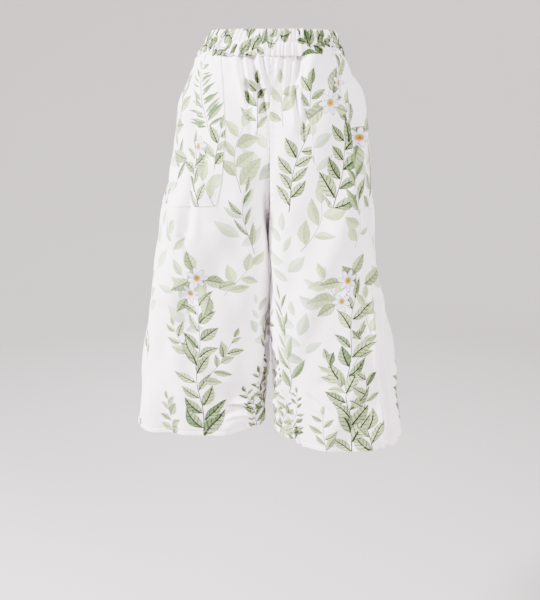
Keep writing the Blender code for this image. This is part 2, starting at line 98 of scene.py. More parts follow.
# one row for each fold, in millimetres: both ends (distance from the centre plane, drop),
# half width, rise and how far the middle bows outwards, and then the share of the rise
# that stands up beside it as a soft ridge
foldColumns = ("x0", "drop0", "x1", "drop1", "half", "rise", "bow")
folds = {
    "right": {
        "front": (
            (40, 30, 14, 125, 13, -4, 2, 0), (45.5, 30, 28, 116, 4.8, -8, 1.5, 0.45),
            (39, 50, 15, 145, 5, 2.4, 1, 0), (34.5, 30, 1.2, 134, 5.2, -10, 2, 0.45),
            (25.5, 34, 0.8, 113, 4.3, -7.8, 3, 0.45), (13, 30, 0.6, 86, 3.2, -5, 2, 0.4),
            (54.5, 30, 43, 76, 3.4, -2.2, 1, 0.4), (32, 100, 25.5, 158, 4.5, -2.2, 0, 0.4),
            (62, 30, 57, 70, 5, -2, 0, 0.3), (92, 50, 99, 110, 10, -2.5, 0, 0.2),
            (119, 80, 138, 330, 8, -6.8, -2, 0.3), (126, 120, 143, 320, 13, -3.2, 0, 0),
            (154, 250, 150, 330, 9, 6, 0, 0), (146, 170, 154, 262, 16, -3.4, 0, 0),
            (143, 318, 116, 396, 4.2, -3.2, 2, 0.45), (132, 330, 150, 312, 3.5, -3, 0, 0.45),
            (148, 365, 112, 450, 9, -3.6, 4, 0.3), (140, 400, 146, 600, 18, -5.5, 0, 0.2),
            (185, 430, 196, 705, 20, -5, 0, 0.2), (94, 665, 30, 664, 6.6, -13.5, -12.5, 0.45),
            (104, 648, 16, 632, 25, -8.5, -12, 0), (90, 692, 34, 684, 12, 6.6, -8, 0),
            (3.7, 515, 35.7, 632, 3.2, -6, -7, 0.5), (0, 525, 23.5, 640, 7.5, -6.8, -6, 0),
            (36.5, 620, 40, 705, 3.2, -6, 0, 0.5), (24, 615, 26.2, 705, 7.5, -7.2, 0, 0),
        ),
        "back": (
            (10, 560, 22, 690, 6, -2.4, 0, 0.4), (26, 30, 16, 120, 8, -5.2, 0, 0.3),
            (52, 30, 44, 140, 9, -5.8, 0, 0.3), (80, 30, 86, 100, 8.5, -4.2, 0, 0.3),
            (100, 30, 110, 80, 6, -2.5, 0, 0.3), (70, 230, 40, 330, 13, -6.2, 0, 0.25),
            (95, 215, 60, 300, 10, -3, 0, 0.25), (135, 250, 165, 705, 22, -10, 0, 0),
            (80, 360, 90, 705, 22, -8.5, 0, 0), (120, 640, 60, 668, 10, -3, 0, 0.4),
        ),
    },
    "left": {
        "front": (
            (47.5, 30, 38.5, 85, 7.5, -5, 0, 0.3), (47.2, 30, 37.7, 80, 3.4, -7, 1, 0.5),
            (37.7, 68, 45, 140, 3.4, -6, -2, 0.5), (54, 112, 48, 155, 3.2, -3.6, 0, 0.45),
            (55, 115, 47, 160, 8, -3.2, 0, 0.3), (62, 30, 56, 95, 7, 3, 0, 0),
            (18.5, 30, 12, 85, 3.4, -3, 1, 0.4), (32, 30, 25, 110, 3.6, -3.4, 2, 0.4),
            (6, 30, 3, 75, 4.5, -2.2, 0, 0.3), (105, 40, 118, 120, 9.5, -4.7, 0, 0.3),
            (88, 36, 86, 85, 7, -2.2, 0, 0.3), (130, 120, 138, 260, 5, -7, 2, 0.35),
            (122, 60, 129, 130, 4.5, -5, 2, 0.35), (60, 588, 104, 628, 4.8, -4, -2, 0.5),
            (80, 560, 130, 585, 9, -3, -3, 0.3), (11, 520, 55, 705, 3.2, -6, -1, 0.5),
            (2, 525, 40, 705, 8, -7, -2, 0), (176, 390, 214, 705, 5.2, -7.8, -3, 0.55),
            (150, 300, 165, 560, 16, -5, 0, 0.2), (25, 290, 42, 420, 12, -3.4, 0, 0.25),
            (15, 520, 22, 610, 5, -2.6, 0, 0.45), (24, 600, 34, 700, 5, -2.8, 0, 0.45),
        ),
        "back": (
            (190, 380, 239, 705, 4.6, -6.2, 0, 0.3), (12, 560, 20, 690, 6, -2.4, 0, 0.4),
            (22, 30, 12, 130, 8, -5.8, 0, 0.3), (46, 30, 40, 110, 8, -4.7, 0, 0.3),
            (74, 30, 78, 130, 9, -5.2, 0, 0.3), (98, 30, 106, 85, 6, -2.6, 0, 0.3),
            (66, 240, 36, 340, 13, -6.2, 0, 0.25), (92, 225, 58, 310, 10, -2.8, 0, 0.25),
            (130, 280, 150, 705, 22, -9.5, 0, 0), (75, 340, 90, 705, 24, -10, 0, 0),
            (115, 600, 60, 640, 10, -2.8, 0, 0.4),
        ),
    },
}

panelSettings = {
    "bandDip": (0.0014, 0.0030),      # of the seam under the band: depth, half width
    "gatherPitch": 0.0092,
    "gatherPlaces": (-0.02, 0.30),    # across the cloth
    "gatherScatter": 0.45,            # of a gather's place, as a share of the pitch
    "gatherHeight": 0.0010,
    "gatherUneven": (0.3, 1.4),       # shares of that height
    "gatherReach": (0.012, 0.065),    # drop over which a gather runs out
    "gatherDrift": (-0.12, 0.12),     # sideways for each metre down
    "gatherHalf": (0.22, 0.42),       # shares of the pitch
    "gatherSink": 0.4,                # of the cloth between them
    "gatherAtSeam": 0.4,              # share of a gather's height that reaches a seam
    "seamFade": 0.006,
    "seamDip": (0.0008, 0.0022),      # depth, half width
    "seamTurn": (0.0038, 0.0014),     # how far the last two columns lie inwards
    "turnApart": 0.00005,             # and least room between them and the centre seam
    "puckerPitch": 0.0105,
    "puckerHeight": 0.00050,
    "puckerReach": (0.004, 0.005),    # from the seam to their middle, half width
    "puckerWander": (1.7, 61.0),      # how far the waves wander and how fast
    "foldEnd": 0.025,                 # length over which a fold runs out
    "foldEndShare": 1 / 3,            # or its share of a short fold
    "foldLip": (1.7, 0.8),            # place and half width of the ridges, in half widths of the fold
    "crumpleFrom": (0.42, 0.10),      # drop, and over what further drop they grow
    "crumpleReach": (0.022, 0.020),
    "crumpleWander": (2.1, 53.0),
    "crumpleWaves": ((0.034, 0.050, 0.0022), (0.021, -0.037, 0.0013)),    # pitch, slant, height
    "hemDepth": 0.010,
    "hemGroove": (0.0011, 0.0014),    # depth, half width
    "hemPucker": (0.00045, 0.0050),
    "hemPuckerPitch": 0.0115,
    "hemWander": (1.9, 47.0),
    # soft swells: pitch across and down, phase, height, and the same for the ones that cross them
    "swell": ((0.118, 0.31, 0.9, 0.0026), (0.071, 0.19, 2.3, 0.0015), (0.043, 0.13, 4.1, 0.0005)),
    "swellCross": (1.37, 0.71, 0.6),      # shares of those pitches and heights
    "swellShift": 0.31,               # from one panel to the next
    "seed": 11,
    # the mesh
    "spacing": 0.0027,
    "anchorShare": 0.36,              # of the columns, on the inner side of the plumb line
    "plumbDepth": 0.02,               # that line lies at least this far in front or behind
    "columnEase": 0.25,               # how much closer columns stand near the seams
    "bandRows": (-0.0025, -0.001, 0.0004),    # below the band's lower edge
    "gatherRows": (0.0022, 0.040, 0.0022),    # the same: first, last, step
    "crotchRows": (27, 0.045, 2.6),   # number, height that they take up, how they draw together
    "leastStep": 0.0003,
    "plainEnd": 0.0145,               # above the hem, like the rows that follow
    "hemRows": (0.0130, 0.0117, 0.0108, 0.0100, 0.0092, 0.0083, 0.0068, 0.0050, 0.0032, 0.0016, 0.0006),
    # turned up inside: above the hem, inwards
    "turnedRows": ((0.0001, 0.0003), (0.0, 0.0008), (0.0003, 0.0014), (0.0020, 0.0016), (0.0096, 0.0016)),
}
turnedRows = len(panelSettings["turnedRows"])
seamColumns = len(panelSettings["seamTurn"])


def toZ(drop):
    return garment["bandHeight"] / 2 - drop


def sectionAt(side, drop):
    # values of the table at any drop, on a smooth curve through its rows
    rows = np.array(sections[side], dtype=float)
    at = rows[:, 0]
    slopes = np.gradient(rows, at, axis=0)
    i = int(np.clip(np.searchsorted(at, drop) - 1, 0, len(at) - 2))
    span = at[i + 1] - at[i]
    s = np.clip((drop - at[i]) / span, 0.0, 1.0)
    values = (rows[i] + (rows[i + 1] - rows[i]) * s * s * (3 - 2 * s)
              + slopes[i] * span * s * (1 - s) ** 2 - slopes[i + 1] * span * s * s * (1 - s))
    return dict(zip(sectionColumns, values))


def lookUp(at, places, table):
    return np.stack([np.interp(at, places, column) for column in table.T], axis=-1)


def halfSection(section):
    # from the centre front round the side to the centre back
    plane = garment["seamGap"] / 2
    count = garment["curveSamples"]
    middle, inner = section["middle"], section["inner"]
    reach = math.pi / 2
    if middle > plane:
        share = min(1.0, (middle - plane) / (middle - inner))
        reach = math.pi - math.acos(share ** (section["inside"] / 2))
    turn = math.radians(section["turn"])
    angles = np.concatenate((np.linspace(reach, turn, count), np.linspace(turn, -reach, count)[1:]))
    c, s = np.cos(angles), np.sin(angles)
    outer = np.where(c > 0, section["side"] - middle, middle - inner)
    power = 2 / np.where(c > 0, section["square"], section["inside"])
    depth = np.where(s > 0, section["front"], section["back"]) - section["axis"]
    x = middle + outer * np.sign(c) * np.abs(c) ** power
    y = section["axis"] + depth * np.abs(s) ** power
    curve = np.stack((np.maximum(x, plane), y), axis=1)
    steps = np.linalg.norm(np.diff(curve, axis=0), axis=1)
    run = np.concatenate(((0.0,), np.cumsum(steps)))
    even = np.linspace(0, run[-1], count)
    along = np.gradient(lookUp(even, run, curve), axis=0)
    normals = np.stack((along[:, 1], -along[:, 0]), axis=1)
    normals /= np.linalg.norm(normals, axis=1, keepdims=True)
    return curve, lookUp(run, even, normals), run, run[count - 1]


def ease(share):
    share = np.clip(share, 0.0, 1.0)
    return share * share * (3 - 2 * share)


def bell(distance, half):
    return np.exp(-(distance / half) ** 2)


def foldRise(side, face, x, drop):
    total = np.zeros_like(x)
    for *sizes, lip in folds[side][face]:
        fold = dict(zip(foldColumns, np.array(sizes) / 1000))
        dx, dz = fold["x1"] - fold["x0"], fold["drop1"] - fold["drop0"]
        length = math.hypot(dx, dz)
        along = ((x - fold["x0"]) * dx + (drop - fold["drop0"]) * dz) / length
        across = ((x - fold["x0"]) * dz - (drop - fold["drop0"]) * dx) / length
        share = np.clip(along / length, 0, 1)
        across = across - fold["bow"] * 4 * share * (1 - share)
        ends = min(panelSettings["foldEnd"], length * panelSettings["foldEndShare"])
        start = 1.0 if fold["drop0"] < garment["bandHeight"] else ease(along / ends)
        finish = 1.0 if fold["drop1"] >= garment["length"] else ease((length - along) / ends)
        place, wide = np.array(panelSettings["foldLip"]) * fold["half"]
        profile = bell(across, fold["half"]) - lip * bell(np.abs(across) - place, wide)
        total += fold["rise"] * start * finish * profile
    return total


def gatherRise(width, drop, seed):
    # short gathers that hang from the band, each with its own place, height and length
    settings = panelSettings
    rng = np.random.default_rng(seed)
    pitch, tall, scatter = settings["gatherPitch"], settings["gatherHeight"], settings["gatherScatter"]
    places = np.arange(*settings["gatherPlaces"], pitch)
    places = places + rng.uniform(-scatter, scatter, len(places)) * pitch
    below = drop - garment["bandHeight"]
    hang = max(0.0, below)
    total = np.zeros_like(width)
    for place in places:
        height = tall * rng.uniform(*settings["gatherUneven"])
        reach = rng.uniform(*settings["gatherReach"])
        drift = rng.uniform(*settings["gatherDrift"])
        half = pitch * rng.uniform(*settings["gatherHalf"])
        total += height * ease(1 - hang / reach) * bell(width - place - drift * hang, half)
    return total - tall * settings["gatherSink"] * float(ease(1 - below / settings["gatherReach"][0]))


def unevenWave(turns, place, start, wander, pace):
    # a wave whose pitch wanders
    return np.sin(2 * math.pi * turns + wander * np.sin(place * pace + start))


def swellRise(width, drop):
    total = np.zeros_like(width)
    wider, longer, part = panelSettings["swellCross"]
    for across, down, phase, height in panelSettings["swell"]:
        total += height * np.sin(2 * math.pi * (width / across + drop / down) + phase)
        crossing = width / (across * wider) - drop / (down * longer)
        total += part * height * np.sin(2 * math.pi * crossing - phase)
    return total


def rowPlan():
    # drop of each row and how far it lies inwards: the last rows turn up inside as the hem
    settings = panelSettings
    top, end = garment["bandHeight"], garment["length"]
    first, reach, step = settings["gatherRows"]
    drops = [top + row for row in settings["bandRows"]]
    drops += list(np.arange(top + first, top + reach, step))
    stop = end - settings["plainEnd"]
    drops += list(np.linspace(drops[-1], stop, int((stop - drops[-1]) / settings["spacing"]) + 2)[1:])
    # closer rows where the crotch seam curves under, because the sections there change fast
    count, rise, power = settings["crotchRows"]
    drops += [garment["crotchDrop"] - rise * (k / (count - 1)) ** power for k in range(count)]
    drops, first = sorted(drops), len(settings["bandRows"])
    drops = drops[:first] + [later for earlier, later in zip(drops[first - 1:], drops[first:])
                             if later - earlier > settings["leastStep"]]
    drops += list(end - np.array(settings["hemRows"]))
    return [(drop, 0.0) for drop in drops] + [(end - above, back) for above, back in settings["turnedRows"]]


def columnPlan(count):
    # share of the way from the centre or inseam to the side, and how far it lies inwards
    shares = np.linspace(0, 1, count)
    turn, turned = 2 * math.pi, panelSettings["seamTurn"]
    shares = shares - panelSettings["columnEase"] * np.sin(turn * shares) / turn
    return ([(0.0, back) for back in turned] + [(float(share), 0.0) for share in shares]
            + [(1.0, back) for back in turned[::-1]])


def reliefRise(side, face, x, width, drop, fromStart, fromSeam, seed):
    # all that makes one row of a panel stand out or sink in from its smooth section
    settings = panelSettings
    room = np.minimum(1.0, np.minimum(fromStart, fromSeam) / settings["seamFade"])
    swell = swellRise(width + settings["swellShift"] * seed, drop)
    rise = (foldRise(side, face, x, drop) + swell) * room
    rise += gatherRise(width, drop, seed) * np.minimum(1.0, settings["gatherAtSeam"] + room)
    # the seam under the band draws the cloth in
    dip, half = settings["bandDip"]
    if drop < garment["bandHeight"]:
        rise = np.minimum(rise, 0.0) - dip
    else:
        rise -= dip * float(bell(drop - garment["bandHeight"], half))
    # a seam lies in a shallow groove, with small puckers beside it
    wave = unevenWave(drop / settings["puckerPitch"], drop, seed, *settings["puckerWander"])
    beside, reach = settings["puckerReach"]
    dip, half = settings["seamDip"]
    for distance in (fromStart, fromSeam):
        rise -= dip * bell(distance, half)
        rise += settings["puckerHeight"] * wave * bell(distance - beside, reach)
    # the cloth crumples down the inseam, more towards the hem
    start, growth = settings["crumpleFrom"]
    lower = float(ease((drop - start) / growth))
    beside, reach = settings["crumpleReach"]
    for pitch, slant, height in settings["crumpleWaves"]:
        wave = unevenWave(drop / pitch + fromStart / slant, drop, seed, *settings["crumpleWander"])
        rise += height * lower * wave * bell(fromStart - beside, reach) * room
    # the hem's row of stitches pulls the cloth in and puckers it a little
    fromRow = garment["length"] - drop - settings["hemDepth"]
    groove, grooveHalf = settings["hemGroove"]
    pucker, puckerHalf = settings["hemPucker"]
    wave = unevenWave(width / settings["hemPuckerPitch"], width, 0.0, *settings["hemWander"])
    return rise - groove * bell(fromRow, grooveHalf) + pucker * bell(fromRow, puckerHalf) * wave


def panelGrid(side, face):
    settings = panelSettings
    mirror = -1 if side == "right" else 1
    gap = garment["seamGap"] / 2
    rows = rowPlan()
    widest = halfSection(sectionAt(side, garment["length"]))
    span = widest[3] if face == "front" else widest[2][-1] - widest[3]
    columns = columnPlan(int(span / settings["spacing"]) + 2)
    shares, inset = np.array(columns).T
    points = np.zeros((len(rows), len(columns), 3))
    widths = np.zeros((len(rows), len(columns)))
    seed = settings["seed"] + ("right", "left").index(side) * 2 + ("front", "back").index(face)
    for j, (drop, turned) in enumerate(rows):
        curve, normals, run, seam = halfSection(sectionAt(side, drop))
        start = run[0] if face == "front" else run[-1]
        toward = math.copysign(1.0, seam - start)
        # the cloth's own width is measured along it from a plumb line down the panel, and
        # the columns on each side of that line keep to their side
        onFace = (run - seam) * toward <= 0
        outwards = curve[:, 1] * (1 if face == "back" else -1) > settings["plumbDepth"]
        past = np.flatnonzero(onFace & outwards & (curve[:, 0] >= garment["flatLine"]))
        line = past[0] if face == "front" else past[-1]
        before = line - 1 if face == "front" else line + 1
        part = (garment["flatLine"] - curve[before, 0]) / (curve[line, 0] - curve[before, 0])
        plumb = run[before] + (run[line] - run[before]) * part
        anchor = settings["anchorShare"]
        at = np.where(shares < anchor, start + (plumb - start) * shares / anchor,
                      plumb + (seam - plumb) * (shares - anchor) / (1 - anchor))
        at = np.where(shares == 1.0, at - toward * gap, at)
        if drop >= garment["crotchDrop"]:
            at = np.where(shares == 0.0, at + toward * gap, at)
        flat, out = lookUp(at, run, curve), lookUp(at, run, normals)
        width = garment["flatLine"] + toward * (at - plumb)
        rise = reliefRise(side, face, flat[:, 0], width, drop, np.abs(at - start), np.abs(at - seam), seed)
        moved = flat + out * (rise - turned - inset)[:, None]
        keep = np.maximum(moved[:, 0], gap + np.where(inset > 0, settings["turnApart"], 0.0))
        points[j] = np.stack((mirror * keep, moved[:, 1], np.full(len(at), toZ(drop))), axis=1)
        widths[j] = width
    drops = np.array([drop for drop, _ in rows])
    return {"points": points, "width": widths, "drop": np.repeat(drops[:, None], len(columns), axis=1),
            "rowDrops": drops}


# Closed cloth from a grid of points

blank = (9.0, 9.0, 0.0)    # what a corner holds that no mark covers


def gridNormals(points, sign):
    down = np.gradient(points, axis=0)
    across = np.gradient(points, axis=1)
    normals = np.cross(across, down) * sign
    return normals / np.maximum(np.linalg.norm(normals, axis=2, keepdims=True), 1e-12)


def link(name, mesh):
    made = bpy.data.objects.new(name, mesh)
    bpy.context.scene.collection.objects.link(made)
    return made


def meshFromFaces(name, verts, faces):
    mesh = bpy.data.meshes.new(name)
    mesh.from_pydata(verts.tolist(), [], faces)
    mesh.shade_smooth()
    return link(name, mesh)


def cornerLists(rows, columns, sign):
    # row and column of each quad's four corners, so that its face points along the normals
    j, i = np.meshgrid(np.arange(rows - 1), np.arange(columns - 1), indexing="ij")
    if sign > 0:
        row, column = (j, j, j + 1, j + 1), (i, i + 1, i + 1, i)
    else:
        row, column = (j, j + 1, j + 1, j), (i, i, i + 1, i + 1)
    return [np.stack([c.ravel() for c in part], axis=1) for part in (row, column)]


def writeCorners(layer, key, values):
    layer.data.foreach_set(key, np.asarray(values, dtype=np.float32).ravel())


def dressMesh(made, grid, marks, row, column, edge, twoSided):
    # flat coordinates, print and cloth side for the skin, for its back and for plain edge faces
    def laid(values, plain):
        back = (values[:, ::-1],) if twoSided else ()
        return np.concatenate((values, *back, plain))

    mesh, count = made.data, len(row)
    flat = np.stack((grid["width"][row, column], -grid["drop"][row, column]), axis=2)
    mesh.uv_layers.new(name="cloth")
    writeCorners(mesh.uv_layers["cloth"], "uv", laid(flat, edge))
    for name, values in layMarks(grid, marks, row, column).items():
        layer = mesh.attributes.new(name, "FLOAT_VECTOR", "CORNER")
        writeCorners(layer, "vector", laid(values, np.tile(blank, (len(edge), 4, 1))))
    reverse = np.zeros((len(mesh.polygons), 4))
    if twoSided:
        reverse[count:2 * count] = 1
    writeCorners(mesh.attributes.new("reverse", "FLOAT", "CORNER"), "value", reverse)
    return made


def clothShell(name, grid, thickness, marks, sign):
    # a sheet with a real thickness: outer skin, inner skin and the edge between them
    outer = grid["points"]
    rows, columns = outer.shape[:2]
    size = rows * columns
    inner = outer - gridNormals(outer, sign) * thickness
    verts = np.concatenate((outer.reshape(-1, 3), inner.reshape(-1, 3)))
    row, column = cornerLists(rows, columns, sign)
    skin = row * columns + column
    index = np.arange(size).reshape(rows, columns)
    ids = np.concatenate((index[0], index[1:, -1], index[-1, -2::-1], index[-2:0:-1, 0]))
    following = np.roll(ids, -1)
    edge = np.stack((following, ids, ids + size, following + size), axis=1)
    if sign < 0:
        edge = edge[:, ::-1]
    made = meshFromFaces(name, verts, np.concatenate((skin, skin[:, ::-1] + size, edge)).tolist())
    rim = np.stack((grid["width"].ravel()[edge % size], -grid["drop"].ravel()[edge % size]), axis=2)
    return dressMesh(made, grid, marks, row, column, rim, True)


def clothRing(name, grid, marks, sign):
    # a closed ring, whose rows go down the outside and up the inside
    rows, columns = grid["points"].shape[:2]
    around = columns - 1
    row, column = cornerLists(rows, columns, sign)
    skin = row * around + column % around
    here = np.arange(around)
    beside, last = (here + 1) % around, (rows - 1) * around
    close = np.stack((last + here, last + beside, beside, here), axis=1)
    if sign < 0:
        close = close[:, ::-1]
    verts = grid["points"][:, :-1].reshape(-1, 3)
    made = meshFromFaces(name, verts, np.concatenate((skin, close)).tolist())
    return dressMesh(made, grid, marks, row, column, np.zeros((around, 4, 2)), False)


# The print: leaves, stems and blossoms charted on the flat cloth. A mark gives the quads that
# it covers its own coordinates, and the material draws its shape from them, with a crisp edge.

markLayers = ("markShadow", "markStem", "markLeafA", "markLeafB", "markLeafC", "markBlossom")
leafLayers = markLayers[2:5]
printSettings = {
    "search": 0.006,          # round a mark, where quads are looked for
    "reach": 0.0035,          # a mark is given to the quads this far round its shape
    "tipReach": 0.002,
    "overlap": {"leaf": 0.05, "blossom": 0.25},    # share of a shape that earlier ones may hide
    "stemStep": 0.008,        # pieces of a stem's line
    "stemSway": (14, 30),     # degrees, for each sway's run
    "swayPitch": 0.022,
    "swayRun": 0.050,
    "stemThins": (1.25, 0.60),    # share of its half width at its foot, and how much less at its tip
    "stemEnds": 0.02,
    "stemTone": (0.3, 0.9),
    "leafFoot": 0.0012,       # from the stem's line
    "leafShrinks": {False: 0.34, True: 0.75},    # towards the tip, for single leaves and for pairs
    "leafSpread": (0.6, 1.4),     # shares that each leaf's own spread, length and slimness are drawn from
    "leafLength": (0.72, 1.15),
    "leafSlim": (0.80, 1.25),
    "leafBend": (-0.45, 0.45),
    "tendril": ((12, 0.0011, 3), (2, 0.0011, 17), (20, 0.00085, 17)),    # steps, length, turn in degrees
    "tendrilHalf": 0.00026,
    "blossomLeaves": {"count": 3, "turn": (-20, 20), "length": (1.6, 2.3), "tone": (0.1, 0.6),
                      "from": 0.55, "slim": 0.55, "ink": 2},
    "blossomTone": (0.1, 0.9),
    "bandWiden": 1.55,        # the gathers squeeze the band's leaves, so they are charted wider
    "bandInk": (3, 0.35),     # and inked throughout and darker
    "darkest": 0.95,
    "seeds": {"frontRight": 40, "backRight": 41, "frontLeft": 42, "backLeft": 43, "pocketRight": 65,
              "pocketLeft": 64, "waistband": 70},
}


def leafWidth(along):
    share = np.clip((along + 1) / 2, 0, 1) ** 0.82
    return np.sin(math.pi * share) ** 1.1


def nearQuads(grid, low, high):
    # quads whose first corner lies in a box of the flat cloth
    width, up = grid["width"][:-1, :-1], -grid["drop"][:-1, :-1]
    pad = printSettings["search"]
    inside = (width > low[0] - pad) & (width < high[0] + pad) & (up > low[1] - pad) & (up < high[1] + pad)
    return np.flatnonzero(inside.ravel())


def layMarks(grid, marks, row, column):
    count = len(row)
    layers = {name: np.tile(blank, (count, 4, 1)) for name in markLayers}
    taken = {name: np.zeros(count, dtype=bool) for name in markLayers}
    cornerWidth, cornerUp = grid["width"][row, column], -grid["drop"][row, column]
    reachOut = printSettings["reach"]
    dropped = 0
    for mark in marks:
        if mark["kind"] == "stem":
            layStem(mark, grid, cornerWidth, cornerUp, layers["markStem"])
            continue
        (cx, cy), (halfLength, halfWidth) = mark["at"], mark["half"]
        reach = max(halfLength, halfWidth)
        near = nearQuads(grid, (cx - reach, cy - reach), (cx + reach, cy + reach))
        dx, dy = cornerWidth[near] - cx, cornerUp[near] - cy
        s, c = math.sin(mark["lean"]), math.cos(mark["lean"])
        along, across = (dx * s + dy * c) / halfLength, (dx * c - dy * s) / halfWidth
        across = across + mark["bend"] * (1 - along ** 2)
        if mark["kind"] == "blossom":
            hit = np.hypot(along * halfLength, across * halfWidth) < reach + reachOut
            shape = np.hypot(along, across) < 1.0
        else:
            sides = np.abs(across) * halfWidth < leafWidth(along) * halfWidth + reachOut
            hit = sides & (np.abs(along) * halfLength < halfLength + printSettings["tipReach"])
            shape = np.abs(across) < leafWidth(along)
        hit, shape = hit.any(axis=1), shape.any(axis=1)
        chosen, drawn = near[hit], near[shape]
        if not len(drawn):
            continue
        clashes = [taken[name][drawn].sum() for name in mark["layers"]]
        best = mark["layers"][int(np.argmin(clashes))]
        if min(clashes) > printSettings["overlap"][mark["kind"]] * len(drawn):
            dropped += 1
            continue
        free = ~taken[best][chosen]
        values = np.stack((along[hit], across[hit], np.full(along[hit].shape, mark["code"])), axis=2)
        layers[best][chosen[free]] = values[free]
        taken[best][chosen] = True
    print("   print:", len(marks), "marks,", dropped, "left out")
    return layers


def layStem(mark, grid, cornerWidth, cornerUp, layer):
    # millimetres from the stem's line, and its half width there
    line = np.array(mark["line"])
    near = nearQuads(grid, line.min(axis=0), line.max(axis=0))
    if not len(near):
        return
    middle = np.stack((cornerWidth[near].mean(axis=1), cornerUp[near].mean(axis=1)), axis=1)
    steps = np.diff(line, axis=0)
    best = np.full(len(near), 1e9)
    values = np.zeros((len(near), 4, 3))
    foot, less = printSettings["stemThins"]
    for k, (start, step) in enumerate(zip(line, steps)):
        length = np.linalg.norm(step)
        offset = middle - start
        share = np.clip((offset @ step) / length ** 2, 0, 1)
        gap = np.linalg.norm(offset - share[:, None] * step, axis=1)
        closer = gap < best
        best = np.where(closer, gap, best)
        dx, dy = cornerWidth[near][closer] - start[0], cornerUp[near][closer] - start[1]
        signed = (dx * step[1] - dy * step[0]) / length
        along = (k + (dx * step[0] + dy * step[1]) / length ** 2) / len(steps)
        half = mark["half"] * (foot - less * along) * (np.abs(along - 0.5) < 0.5 + printSettings["stemEnds"])
        values[closer] = np.stack((signed * 1000, half * 1000, np.full(half.shape, mark["code"])), axis=2)
    hit = best < printSettings["reach"]
    chosen = near[hit]
    free = np.abs(layer[chosen][:, :, 0]).min(axis=1) > np.abs(values[hit][:, :, 0]).min(axis=1)
    layer[chosen[free]] = values[hit][free]


# leaf length, slimness, gap between leaves, spread from the stem in degrees, range of tone,
# range of ink, half width of the stem, leaves in pairs
styleColumns = ("leaf", "slim", "gap", "spread", "tone", "ink", "stem", "pairs")
sprayStyles = {
    "climbing": (0.060, 0.42, 0.0170, 42, (0.05, 0.80), (3, 4), 0.00100, False),
    "branch": (0.042, 0.44, 0.0125, 46, (0.05, 0.80), (2, 4), 0.00070, False),
    "willow": (0.060, 0.25, 0.0200, 26, (0.35, 0.90), (1, 4), 0.00060, False),
    "broad": (0.060, 0.46, 0.0190, 48, (0.00, 0.35), (0, 2), 0.00060, False),
    "frond": (0.044, 0.19, 0.0066, 56, (0.60, 1.00), (0, 2), 0.00060, True),
    "inked": (0.032, 0.42, 0.0085, 44, (0.30, 0.95), (3, 4), 0.00080, False),
    "shadow": (0.058, 0.42, 0.0190, 50, (0.05, 0.75), (0, 1), 0.0, False),
}


def away(at, lean, distance):
    return at[0] + math.sin(lean) * distance, at[1] + math.cos(lean) * distance


def leafMark(base, lean, length, slim, code, layers, bend=0.0):
    return {"kind": "leaf", "at": away(base, lean, length / 2), "lean": lean,
            "half": (length / 2, length * slim / 2), "bend": bend, "code": code, "layers": layers}


def blossomMark(at, radius, lean, squash, shade):
    return {"kind": "blossom", "at": at, "lean": lean, "half": (radius, radius * squash),
            "bend": 0.0, "code": shade, "layers": ("markBlossom",)}


def stemMark(line, half, shade):
    return {"kind": "stem", "line": line, "half": half, "code": shade}


def sprayMarks(style, at, lean, length, curve, rng, size):
    # a stem that curves as it rises, leaves in turn or in pairs on its two sides and one at its tip
    settings = {**printSettings, **dict(zip(styleColumns, sprayStyles[style]))}
    piece = settings["stemStep"]
    steps = max(6, int(length / piece))
    line, heading = [at], math.radians(lean)
    sway, phase = math.radians(rng.uniform(*settings["stemSway"])), rng.uniform(0, 2 * math.pi)
    for k in range(steps):
        turn = math.cos(phase + k * piece / settings["swayPitch"])
        heading += math.radians(curve) / steps + sway * turn * piece / settings["swayRun"]
        line.append(away(line[-1], heading, length / steps))
    marks = []
    layers = ("markShadow",) if style == "shadow" else leafLayers
    count = max(2, int(length / (settings["gap"] * size)))
    for k in range(count + 1):
        share = 1.0 if k == count else (k + 0.6) / (count + 0.6)
        i = min(int(share * steps), steps - 1)
        (x0, y0), (x1, y1), part = line[i], line[i + 1], share * steps - i
        x, y = x0 + (x1 - x0) * part, y0 + (y1 - y0) * part
        direction = math.atan2(x1 - x0, y1 - y0)
        sides = (0,) if k == count else ((-1, 1) if settings["pairs"] else ((1,) if k % 2 else (-1,)))
        for side in sides:
            aim = direction + math.radians(settings["spread"] * rng.uniform(*settings["leafSpread"])) * side
            shrink = 1.0 - settings["leafShrinks"][settings["pairs"]] * share
            leaf = settings["leaf"] * size * shrink * rng.uniform(*settings["leafLength"])
            base = away((x, y), aim, settings["leafFoot"])
            slim = settings["slim"] * rng.uniform(*settings["leafSlim"])
            code = int(rng.integers(*settings["ink"])) + rng.uniform(*settings["tone"])
            marks.append(leafMark(base, aim, leaf, slim, code, layers, rng.uniform(*settings["leafBend"])))
    if settings["stem"]:
        marks.append(stemMark(line, settings["stem"] * size ** 0.5, rng.uniform(*settings["stemTone"])))
    return marks


def tendrilMarks(at, lean):
    # a thin stem that ends in a curl
    line, heading = [at], math.radians(lean)
    for count, step, turn in printSettings["tendril"]:
        for _ in range(count):
            heading += math.radians(turn)
            line.append(away(line[-1], heading, step))
    return [stemMark(line, printSettings["tendrilHalf"], printSettings["darkest"])]


